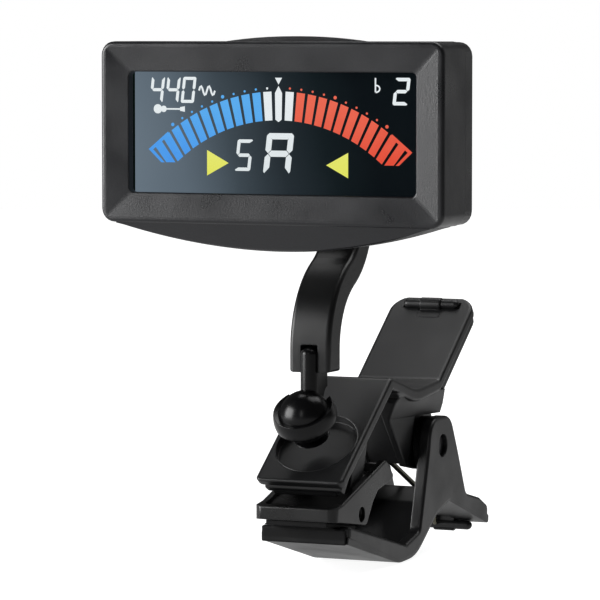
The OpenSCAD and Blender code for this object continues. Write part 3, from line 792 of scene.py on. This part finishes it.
def stem_outline(grow):
    """Section of the stem's post: round in front, flat behind."""
    r = STEM_R + grow
    round_front = [Vector((-r * math.cos(a), STEM_FRONT - r * math.sin(a))) for a in sweep(math.pi, 12)]
    return round_front + [Vector((r, STEM_BACK + grow)), Vector((-r, STEM_BACK + grow))]


def build_arm():
    o = prism("arm_bow", arm_edges(), -ARM_W / 2, ARM_W / 2, side, 0.75, steps=5)
    o = combine(o, wheel(HINGE, KNUCKLE_R, -KNUCKLE_W / 2, KNUCKLE_W / 2, 0.2))
    for s in (-1, 1):
        lo, hi = sorted((s * KNUCKLE_W / 2, s * (ARM_W / 2 + 1)))
        o = cut(o, wheel(HINGE, KNUCKLE_R + 1, lo, hi))
    o = cut(o, wheel(HINGE, 1.05, *THROUGH))
    o = cut(o, prism("slot", stem_outline(0.06), ARM_LO.z - 1, STEM_TOP + 0.35, plan, 0, 0.3))
    o.name = "arm_bow"
    return dress(o, "arm", arm_plastic, "arm", slot="arm_plastic")


def build_ball():
    rings = [(BALL_R * math.sin(a), -BALL_R * math.cos(a)) for a in sweep(math.pi, 40)]
    o = lathe("ball_and_stem", rings, lambda u, v, w: Vector((u, BALL.x + v, BALL.y + w)), 80)
    top = STEM_TOP - 0.02
    foot_rear = [(-1.9 - 1.7 * math.sin(a), 20.8 + 2.7 * math.cos(a)) for a in sweep(QUARTER, 8)]
    web = points((STEM_FRONT, top - 0.9), (STEM_BACK, top - 0.9), *foot_rear, (-4.4, 19.6),
                 (STEM_FRONT, 19.6))
    o = combine(o, prism("web", web, -STEM_R, STEM_R, side, 0.12, steps=2))
    # Rib in front of the web, with a domed top
    rib = [(max(0.03, STEM_R * math.sin(a)), top - STEM_R * 0.75 * (1 - math.cos(a)))
           for a in sweep(QUARTER, 6)]
    rings = [[Vector((r * math.cos(t), STEM_FRONT + r * math.sin(t), z)) for t in sweep(2 * math.pi, 36)[:-1]]
             for r, z in rib + [(STEM_R, 21.6)]]
    o = combine(o, skin("rib", rings))
    o.name = "ball_and_stem"
    return dress(o, "arm", gloss_black, "ball_stem", slot="gloss_black")


build_arm()
build_ball()


# ---------------------------------------------------------------- upper jaw

HALF = box_mm("upper_jaw")[1].x
SLOPE = 36.6
PLATE_T = 1.95
NOSE = Vector((-10.6, 8.8))
ALONG = Vector((math.cos(math.radians(SLOPE)), math.sin(math.radians(SLOPE))))
OUT = Vector((-ALONG.y, ALONG.x))
RIDGE = NOSE + 25.66 * ALONG
VALLEY = Vector((20.9, 21.2))
KINK = Vector((30.6, 22.1))
GRIP_END = Vector((47.2, 34.9))
GRIP = (GRIP_END - KINK).normalized()
GRIP_OUT = Vector((-GRIP.y, GRIP.x))
GRIP_SLOPE = math.degrees(math.atan2(GRIP.y, GRIP.x))
PIVOT = joint_at("jaw_open")
TRAY = joint_at("tray_rock")
RIM = Vector((-7.92, 20.78))
UPPER_BAR = GRIP_END - 2.2 * GRIP + 0.3 * GRIP_OUT
BAR_R, BAR_HALF = 0.8, 5.1
SLOT_W = 6.7
EAR_LINE = 16.45
CHEEK_IN, CHEEK_OUT = 2.8, 4.0
LUG_IN, LUG_OUT = 4.4, 5.6
on_rim = leaning(RIM, SLOPE)
on_grip = leaning(KINK, GRIP_SLOPE)
GRIP_LEN = (GRIP_END - KINK).length


def plate_rings(top, under, half_width, nose_r, end_r, edge):
    """Rings of a bent plate whose plan corners are rounded to nose_r and end_r."""
    def spread(line, share, first):
        a, b = (line[0], line[1]) if first else (line[-1], line[-2])
        return a.lerp(b, share / (b - a).length)

    stations = []
    for first, r in ((True, nose_r), (False, end_r)):
        part = []
        for a in sweep(QUARTER, 8):
            d = r * (1 - math.cos(a))
            hw = half_width - r + math.sqrt(max(0, r * r - (r - d) ** 2))
            thin = edge - math.sqrt(max(0, edge * edge - max(0, edge - d) ** 2))
            part.append((spread(top, d, first), spread(under, d, first), hw, thin))
        stations.append(part)
    middle = [(a, b, half_width, 0) for a, b in zip(top[1:-1], under[1:-1])]
    rings = []
    for a, b, hw, thin in stations[0] + middle + stations[1][::-1]:
        c, v = (a + b) / 2, (a - b)
        h = v.length / 2 - thin
        v = v.normalized()
        e = min(edge, h * 0.98)
        rect = fillet([(-hw, -h, e), (hw, -h, e), (hw, h, e), (-hw, h, e)], 4)
        rings.append([Vector((p.x, c.x + v.x * p.y, c.y + v.y * p.y)) for p in rect])
    return rings


def build_upper_plate():
    under = [NOSE + Vector((1.6, -1.1)), RIDGE - PLATE_T * OUT + Vector((-0.4, -0.5)),
             VALLEY - Vector((0, PLATE_T + 0.2)), KINK - PLATE_T * Vector((-0.3, 0.95)),
             GRIP_END - PLATE_T * GRIP_OUT]
    top = fillet([(*NOSE, 0), (*RIDGE, 1.1), (*VALLEY, 14), (*KINK, 2), (*GRIP_END, 0)], 8)
    low = fillet([(*under[0], 0), (*under[1], 0.3), (*under[2], 12), (*under[3], 2), (*under[4], 0)], 8)
    return skin("upper_jaw_plate", plate_rings(top, low, HALF, 1.0, 3.5, 0.5))


def build_shoulder():
    """Solid under the plate: a twisted face that runs from the plate's edge in to the cheek."""
    top, ear, low = 20.9, EAR_LINE, 8.1
    plate_x = HALF - 0.03
    rings = []
    levels = [(21.5, 12.2, 18.6), (top, 13.1, 20.2), (20.41, 13.9, 20.6)]
    for k in range(9):
        z = 20.4 - (20.4 - ear) * k / 8
        levels.append((z, None, 33.4 - 0.6 * max(0, (18 - z) / (18 - ear))))
    levels += [(ear - 0.01 - (ear - low) * k / 10, None, 25.5) for k in range(11)]
    for z, y_front, y_back in levels:
        drawn = min(1, max(0, (top - z) / 4.6))
        x_front = plate_x - (plate_x - CHEEK_OUT) * drawn ** 0.9
        x_back = plate_x - 0.7 * drawn
        if z < ear:
            x_back = CHEEK_OUT + 0.03 + 1.4 * max(0, (z - low) / (ear - low))
        if y_front is None:
            y_front = 14.6 + (24.6 - 14.6) * max(0, (19.6 - z) / 11.7)
        ring = fillet([(CHEEK_IN, y_front, 0.1), (x_front, y_front, 0.35),
                       (x_back, y_back, 0.35), (CHEEK_IN, y_back, 0.1)], 3)
        rings.append([Vector((p.x, p.y, z)) for p in ring])
    return skin("shoulder", rings)


def notch(bar_at):
    """Opening in a handle through which the spring's leg reaches its bar, which lies at bar_at."""
    x, lo, hi = 2.1, bar_at - 3.1, bar_at - 0.5
    return fillet([(-x, lo, 0.4), (x, lo, 0.4), (x, hi, 0.2), (-x, hi, 0.2)], 3)


def build_upper_jaw():
    o = build_upper_plate()
    nose_low = NOSE + Vector((2.6, -1.6))
    step = fillet([(*(nose_low + 0.9 * OUT), 0), (*(nose_low + Vector((-0.5, 0.1))), 0.3),
                   (*(nose_low + Vector((0.9, -0.6))), 0.5), (*(nose_low + 4.6 * ALONG), 0),
                   (*(nose_low + 4.6 * ALONG + 0.9 * OUT), 0)], 3)
    o = combine(o, prism("step", step, -HALF + 0.9, HALF - 0.9, side, 0.3))
    chin_block = fillet([(*(nose_low + 0.5 * OUT), 0), (*(nose_low + Vector((0.2, -0.3))), 0.2),
                         (*(nose_low + Vector((1.0, -1.2))), 0.4), (*(nose_low + 5 * ALONG), 0),
                         (*(nose_low + 5 * ALONG + 0.5 * OUT), 0)], 3)
    o = combine(o, prism("chin_block", chin_block, -5.7, 5.7, side, 0.25))
    cheek = fillet([(14.6, 19.6, 0), (24.6, 7.9, 0.6), (30, 6.9, 1.6), (34.8, 7.2, 2.6), (37.0, 11.2, 2.6),
                    (35.4, 16.8, 1), (33.2, 20, 0.3)], 4)
    lug = fillet([(TRAY.x - 1.7, TRAY.y - 1.7, 1.69), (TRAY.x + 1.7, TRAY.y - 1.7, 1.69), (6.5, 19.5, 0),
                  (-1.0, 13.6, 0)], 6)
    pieces = []
    for make in (build_shoulder,
                 lambda: prism("cheek", cheek, CHEEK_IN, CHEEK_OUT, side, 0.15, 0.25),
                 lambda: prism("lug", lug, LUG_IN, LUG_OUT, side, 0.15)):
        pieces += pair(make)
    o = combine(o, *pieces)
    guard = fillet([(15.1, 19.7, 0), (24.9, 8.2, 0.3), (25.9, 8.5, 0.3), (16.9, 19.7, 0)], 3)
    o = combine(o, prism("guard", guard, -2.9, 2.9, side, 0))
    # Skirt round the handle's edge
    def skirt(x, end, r, w0, w1, name, edge):
        outline = fillet([(-x, 0.4, 0.6), (x, 0.4, 0.6), (x, end, r), (-x, end, r)], 6)
        return prism(name, outline, w0, w1, on_grip, edge)
    rim_piece = skirt(HALF - 0.35, GRIP_LEN - 0.35, 3.2, -3.25, -0.6, "skirt", 0.3)
    rim_piece = cut(rim_piece, skirt(HALF - 1.75, GRIP_LEN - 1.75, 2.0, -6, 2, "hollow", 0))
    o = combine(o, rim_piece)
    # Socket
    boss = [(0, -9.6), (6.9, -9.6), (6.9, -8.25), (6.78, -8.02), (6.6, -7.85), (6.45, -7.55), (6.38, -7.1),
            (6.38, -6.2), (6.45, -4.6), (6.62, -2.8), (6.82, -1.2), (6.9, -0.5), (6.9, -0.22), (6.84, -0.07),
            (6.72, 0), (0, 0)]
    o = combine(o, lathe("boss", boss, on_rim, 96))
    o = combine(o, prism("keeper", disc(UPPER_BAR.x, UPPER_BAR.y, BAR_R + 0.32, 24), -1.9, 1.9, side, 0.2))
    hollow = [(5.26 * math.sin(a), -5.26 * math.cos(a)) for a in sweep(QUARTER, 18)]
    o = cut(o, lathe("hollow", hollow + [(5.26, 0.9), (0, 0.9)], leaning(BALL, SLOPE), 96))
    bore = [(0, -1.3), (5.5, -1.3), (5.5, -0.22), (5.56, -0.07), (5.73, 0.04), (5.8, 1), (0, 1)]
    o = cut(o, lathe("bore", bore, on_rim, 90))
    gap = fillet([(-SLOT_W / 2, 0, 0), (SLOT_W / 2, 0, 0), (SLOT_W / 2, 6.35, 0), (SLOT_W / 2 + 0.6, 6.95, 0),
                  (SLOT_W / 2 + 0.6, 12, 0), (-SLOT_W / 2 - 0.6, 12, 0), (-SLOT_W / 2 - 0.6, 6.95, 0),
                  (-SLOT_W / 2, 6.35, 0)], 1)
    o = cut(o, wheel(PIVOT, 1.92, *THROUGH))
    o = cut(o, wheel(TRAY, 0.84, *THROUGH, sides=24))
    o = cut(o, wheel(UPPER_BAR, BAR_R + 0.03, -BAR_HALF - 0.1, BAR_HALF + 0.1, sides=32))
    o = cut(o, prism("notch", notch((UPPER_BAR - KINK).dot(GRIP)), -5, 4, on_grip, 0))
    o = cut(o, prism("gap", gap, -4.2, 3, on_rim, 0))
    o.name = "upper_jaw_shell"
    return dress(o, "upper_jaw", jaw_plastic, "upper_jaw", slot="jaw_plastic")


build_upper_jaw()


# ---------------------------------------------------------------- lower jaw

FLOOR_FRONT = (-7.8, -1.3)
FLOOR_BACK = (13.5, -6.9)
LOWER_END = Vector((53.0, -4.8))
LOWER_BAR = Vector((51.4, -5.1))
EAR_TOP = 15.8
RAIL_T = 2
BOSS_X = 4.1


def build_lower_jaw():
    front_y, front_z = FLOOR_FRONT
    back_y, back_z = FLOOR_BACK
    end_y, end_z = LOWER_END
    floor = fillet([(front_y, front_z, 0.2), (back_y, back_z, 9), (20.5, -6.6, 10), (29.6, -0.6, 3),
                    (35.2, 1.1, 2.5), (end_y, end_z, 0.5), (end_y + 0.2, end_z + 1.5, 0.5), (35.2, 3.4, 2.5),
                    (29.3, 1.4, 3), (20.4, -4.9, 2.5), (13.6, -5.7, 2),
                    (front_y + 0.3, front_z + 1.15, 0.1)], 5)
    wall = fillet([(-7.0, -0.4, 0.3), (back_y, back_z + 0.05, 9), (20.4, -6.5, 10), (29.6, -0.5, 3),
                   (35.2, 1.2, 2.5), (end_y - 0.3, end_z + 0.2, 0.4), (52.7, -1.6, 1.2), (48.9, 0.2, 1.5),
                   (42.7, 1.6, 2), (38.9, 9.5, 2), (35.6, EAR_TOP, 3.7), (27.0, EAR_TOP, 3.7),
                   (26.0, 10.5, 4), (22.2, -2.6, 1.4), (16.4, -4.2, 1.5), (-7.0, 1.5, 0.35)], 7)
    o = prism("lower_jaw_shell", floor, -HALF + 0.05, HALF - 0.05, side, 0.15)
    pieces = []
    for make in (lambda: prism("wall", wall, HALF - RAIL_T, HALF, side, 0.15, 0.45),
                 lambda: wheel(PIVOT, 4.9, BOSS_X, HALF - RAIL_T + 0.3, 0.25)):
        pieces += pair(make)
    o = combine(o, *pieces)
    keeper = fillet([(LOWER_BAR.x - 1.1, LOWER_BAR.y - 1.1, 1.0), (LOWER_BAR.x + 1.1, LOWER_BAR.y - 1.1, 1.0),
                     (LOWER_BAR.x + 1.0, LOWER_BAR.y + 2, 0.2), (LOWER_BAR.x - 1.0, LOWER_BAR.y + 2, 0.2)], 5)
    o = combine(o, prism("keeper", keeper, -1.9, 1.9, side, 0.2))
    o = cut(o, wheel(PIVOT, 1.95, *THROUGH))
    o = cut(o, wheel(LOWER_BAR, BAR_R + 0.03, -BAR_HALF - 0.1, BAR_HALF + 0.1, sides=32))
    o = cut(o, prism("notch", notch(LOWER_BAR.x), LOWER_BAR.y - 2, LOWER_BAR.y + 4, plan, 0))
    o.name = "lower_jaw_shell"
    return dress(o, "lower_jaw", jaw_plastic, "lower_jaw", slot="jaw_plastic")


build_lower_jaw()


def build_pin():
    lo, hi = box_mm("pivot_pin")
    r = (hi.z - lo.z) / 2
    o = wheel(PIVOT, r, lo.x, hi.x, 0.3, 64)
    o.name = "pivot_rod"
    return dress(o, "lower_jaw", dark_steel, "pivot_pin", slot="dark_steel")


build_pin()


# ---------------------------------------------------------------- spring

COIL_R, COIL_PITCH, TURNS, WIRE_R = 2.8, 1.0, 4, 0.45


def leg_angle(p, s):
    d = p - PIVOT
    return math.atan2(d.y, d.x) - s * math.asin(COIL_R / d.length)


def build_spring():
    upper_leg = [UPPER_BAR - 1.9 * GRIP - 3.5 * GRIP_OUT, UPPER_BAR - 1.0 * GRIP - 1.7 * GRIP_OUT,
                 UPPER_BAR - 0.4 * GRIP - 0.4 * GRIP_OUT]
    lower_leg = [LOWER_BAR + Vector(p) for p in ((-2.0, 3.9), (-1.3, 0.6), (-0.6, 0))]
    start = leg_angle(upper_leg[0], 1) + math.pi / 2
    finish = 2 * math.pi * TURNS + leg_angle(lower_leg[0], -1) + 3 * math.pi / 2
    middle = (start + finish) / 2
    leg_x = 1.4
    path = [(leg_x, *p) for p in upper_leg[::-1]]
    for k in range(181):
        a = start + (finish - start) * k / 180
        path.append((COIL_PITCH * (middle - a) / (2 * math.pi), PIVOT.x + COIL_R * math.cos(a),
                     PIVOT.y + COIL_R * math.sin(a)))
    path += [(-leg_x, *p) for p in lower_leg]
    o = tube("spring_coil", path, WIRE_R, 12)
    o.data.materials.append(spring_wire)
    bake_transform(o)
    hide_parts("torsion_spring")
    for side_name, bar_at in (("upper", UPPER_BAR), ("lower", LOWER_BAR)):
        path = [(x, *bar_at) for x in (-BAR_HALF, 0, BAR_HALF)]
        dress(tube(side_name + "_spring_bar", path, BAR_R, 24), side_name + "_jaw", jaw_plastic,
              slot="jaw_plastic")


build_spring()


# ---------------------------------------------------------------- tray and pads

TRAY_LO, TRAY_HI = box_mm("pad_tray")
TRAY_W = TRAY_HI.x - TRAY_LO.x
TRAY_FRONT = TRAY_LO.y
TRAY_WALL = 1.2
TRAY_LIFT = 0.9
PAD_FRONT, PAD_BACK = -8.3, 6
MOUTH = math.tan(math.radians(8.5))


def mouth(y, lift=0.0):
    """Point at y on the sloping line between the closed pads, or above it by lift."""
    return (y, -y * MOUTH + lift)


def tray_plan(grow):
    """Plan form of the tray, with its rounded front corners."""
    x, y, r = TRAY_W / 2 + grow, TRAY_FRONT - grow, 1.6 + grow
    return prism("plan_form", fillet([(-x, y, r), (x, y, r), (x, 14, 0), (-x, 14, 0)], 8), -2, 14, plan, 0)


def build_tray():
    outline = fillet([(*mouth(TRAY_FRONT, TRAY_LIFT), 0.25), (*mouth(0.9, TRAY_LIFT), 1.2), (3.6, 4.3, 1.5),
                      (5.6, 6.0, 2), (10.4, 6.9, 1), (12.4, 7.6, 0.6), (9.0, 10.8, 1), (-8.6, 5.3, 2),
                      (TRAY_FRONT, 4.8, 0.35)], 6)
    o = prism("pad_tray_shell", outline, -TRAY_W / 2, TRAY_W / 2, side, 0.35)
    o = combine(o, tray_plan(0.02), op="INTERSECT")
    # Hollow between the walls, above the sloping deck
    front_in, back_in = TRAY_FRONT + TRAY_WALL, 14
    deck = points((front_in, 4.1), (-3.2, 6.3), (-2.2, 3.0), (5.0, 2.8), (back_in, 4.0), (back_in, 14),
                  (front_in, 14))
    x = TRAY_W / 2 - TRAY_WALL
    hollow = prism("hollow", deck, -x, x, side, 0)
    inner = fillet([(-x, front_in, 1.2), (x, front_in, 1.2), (x, 14, 0), (-x, 14, 0)], 6)
    o = cut(o, combine(hollow, prism("inner", inner, -3, 15, plan, 0), op="INTERSECT"))
    # Room under the deck
    under = points(mouth(front_in + 0.4, TRAY_LIFT + 0.8), mouth(0.4, TRAY_LIFT + 0.8), (-2.6, 5.2),
                   (-3.4, 5.4), (front_in + 0.4, 3.3))
    o = cut(o, prism("under", under, -x, x, side, 0))
    rear = points((6.6, 8.4), (9.2, 8.2), (8.6, 10.0), (6.6, 9.2))
    o = combine(o, prism("rear_rib", rear, -x - 0.3, x + 0.3, side, 0.1))
    o = cut(o, wheel(TRAY, 0.82, *THROUGH, sides=24))
    for s in (-1, 1):
        lo, hi = sorted((s * (TRAY_W / 2 - 0.7), s * (TRAY_W / 2 + 1)))
        o = cut(o, wheel(TRAY, 1.25, lo, hi))
        lo, hi = sorted((s * (LUG_IN - 0.2), s * (LUG_OUT + 0.2)))
        slot = fillet([(lo, -3.2, 0.2), (hi, -3.2, 0.2), (hi, 1.8, 0.2), (lo, 1.8, 0.2)], 2)
        o = cut(o, prism("lug_slot", slot, -1, 3.6, plan, 0))
    o.name = "pad_tray_shell"
    return dress(o, "pad_tray", tray_plastic, "pad_tray", slot="tray_plastic")


def build_pads():
    lo = box_mm("upper_pad")[0]
    front, back, low, high = TRAY_FRONT + 0.9, 0.4, 0.03, TRAY_LIFT - 0.02
    pad = fillet([(*mouth(front, low), 0.2), (*mouth(back, low), 0.2), (*mouth(back, high), 0),
                  (*mouth(front, high), 0)], 4)
    o = prism("upper_grip_pad", pad, lo.x, -lo.x, side, 0.2)
    dress(o, "pad_tray", pad_rubber, "upper_pad", slot="pad_rubber")

    def bed(y):
        return Vector((y, FLOOR_FRONT[1] + 1.2 + (y + 7.5) * (-5.7 + 0.15) / 21.1))
    base = [bed(-7.0) + Vector((-0.6, 0.2)), bed(-7.0), bed(PAD_BACK),
            *points(mouth(PAD_BACK), mouth(PAD_FRONT))]
    inner = HALF - RAIL_T - 0.02
    o = prism("lower_grip_pad", base, -inner, inner, side, 0.06)
    lip = fillet([(*mouth(PAD_FRONT), 0.35), (PAD_FRONT + 0.12, -0.7, 1.0), (PAD_FRONT - 0.12, -1.42, 0.2),
                  (FLOOR_FRONT[0] - 0.02, -1.36, 0.05), (FLOOR_FRONT[0] - 0.02, -0.3, 0), (-7.05, -0.1, 0),
                  (*mouth(-7.05), 0)], 4)
    o = combine(o, prism("lip", lip, -HALF + 0.2, HALF - 0.2, side, 0.3))
    o.name = "lower_grip_pad"
    dress(o, "lower_jaw", pad_rubber, "lower_pad", slot="pad_rubber")


build_tray()
build_pads()


# ---------------------------------------------------------------- stage, light and camera

def build_floor():
    """Pale flat floor, white to the camera and dimmer in reflections."""
    just_under = Matrix.Translation((0, 0, cad_box[0][2] - 0.0002))
    bm = bmesh.new()
    bmesh.ops.create_circle(bm, cap_ends=True, segments=96, radius=1.3, matrix=just_under)
    mesh = bpy.data.meshes.new("floor")
    bm.to_mesh(mesh)
    bm.free()
    o = bpy.data.objects.new("floor", mesh)
    bpy.context.scene.collection.objects.link(o)
    m, t, bsdf, _ = blank("floor")
    bsdf.inputs["Base Color"].default_value = (0.30, 0.30, 0.30, 1)
    bsdf.inputs["Roughness"].default_value = 0.9
    bsdf.inputs["Specular IOR Level"].default_value = 0.0
    bsdf.inputs["Emission Color"].default_value = (1, 1, 1, 1)
    spot = t.nodes.new("ShaderNodeNewGeometry").outputs["Position"]
    away = maths(t, "DISTANCE", spot, (-0.15, -0.25, 0), kind="ShaderNodeVectorMath")["Value"]
    reflected = ranged(t, away, 0.33, 0.9, 0.66, 0.13)
    shown = ranged(t, away, 0.3, 0.6, 0.92, 1.05)
    seen = node(t, "ShaderNodeMix")
    t.links.new(t.nodes.new("ShaderNodeLightPath").outputs["Is Camera Ray"], seen.inputs["Factor"])
    t.links.new(reflected, seen.inputs["A"])
    t.links.new(shown, seen.inputs["B"])
    t.links.new(seen.outputs[0], bsdf.inputs["Emission Strength"])
    o.data.materials.append(m)


def soft_light(name, azimuth, elevation, distance, size, radiance):
    """Soft box aimed at the clip; azimuth 0 is in front, 90 on the +X side."""
    a, e = math.radians(azimuth), math.radians(elevation)
    aim = Vector((0, 0.01, 0.035))
    at = aim + distance * Vector((math.sin(a) * math.cos(e), -math.cos(a) * math.cos(e), math.sin(e)))
    data = bpy.data.lights.new(name, "AREA")
    data.shape = "RECTANGLE"
    data.size, data.size_y = size
    data.energy = radiance * math.pi * size[0] * size[1]
    o = bpy.data.objects.new(name, data)
    o.location = at
    o.rotation_euler = (aim - at).to_track_quat("-Z", "Y").to_euler()
    bpy.context.scene.collection.objects.link(o)


build_floor()
soft_light("left_box", -53, 10, 0.6, (0.42, 0.42), 12.0)
soft_light("top_box", 170, 66, 0.6, (0.6, 0.5), 3.0)
soft_light("right_box", 152, 14, 0.7, (0.3, 0.4), 0.5)
soft_light("front_strip", 6, 16, 0.7, (0.05, 0.3), 7.0)

scene = bpy.context.scene
world = bpy.data.worlds.new("studio")
world.use_nodes = True
sky = world.node_tree
is_camera = sky.nodes.new("ShaderNodeLightPath").outputs["Is Camera Ray"]
sky.nodes["Background"].inputs[0].default_value = (1, 1, 1, 1)
sky.links.new(ranged(sky, is_camera, 0.0, 1.0, 0.09, 1.0), sky.nodes["Background"].inputs[1])
scene.world = world
scene.view_settings.view_transform = "Standard"
scene.view_settings.gamma = 0.84

YAW, PITCH = math.radians(24.5), math.radians(3.9358)
CAMERA_AT = (0.257705, -0.575032, 0.080678)
LENS = 233.784
camera = bpy.data.objects.new("camera", bpy.data.cameras.new("camera"))
camera.data.lens = LENS
camera.data.sensor_width = 36
camera.data.clip_start = 0.01
back = Vector((math.sin(YAW) * math.cos(PITCH), -math.cos(YAW) * math.cos(PITCH), math.sin(PITCH)))
right = Vector((-back.y, back.x, 0)).normalized()
up = back.cross(right)
turn = Matrix((right, up, back)).transposed()
camera.matrix_world = Matrix.Translation(CAMERA_AT) @ turn.to_4x4()
scene.collection.objects.link(camera)
scene.camera = camera
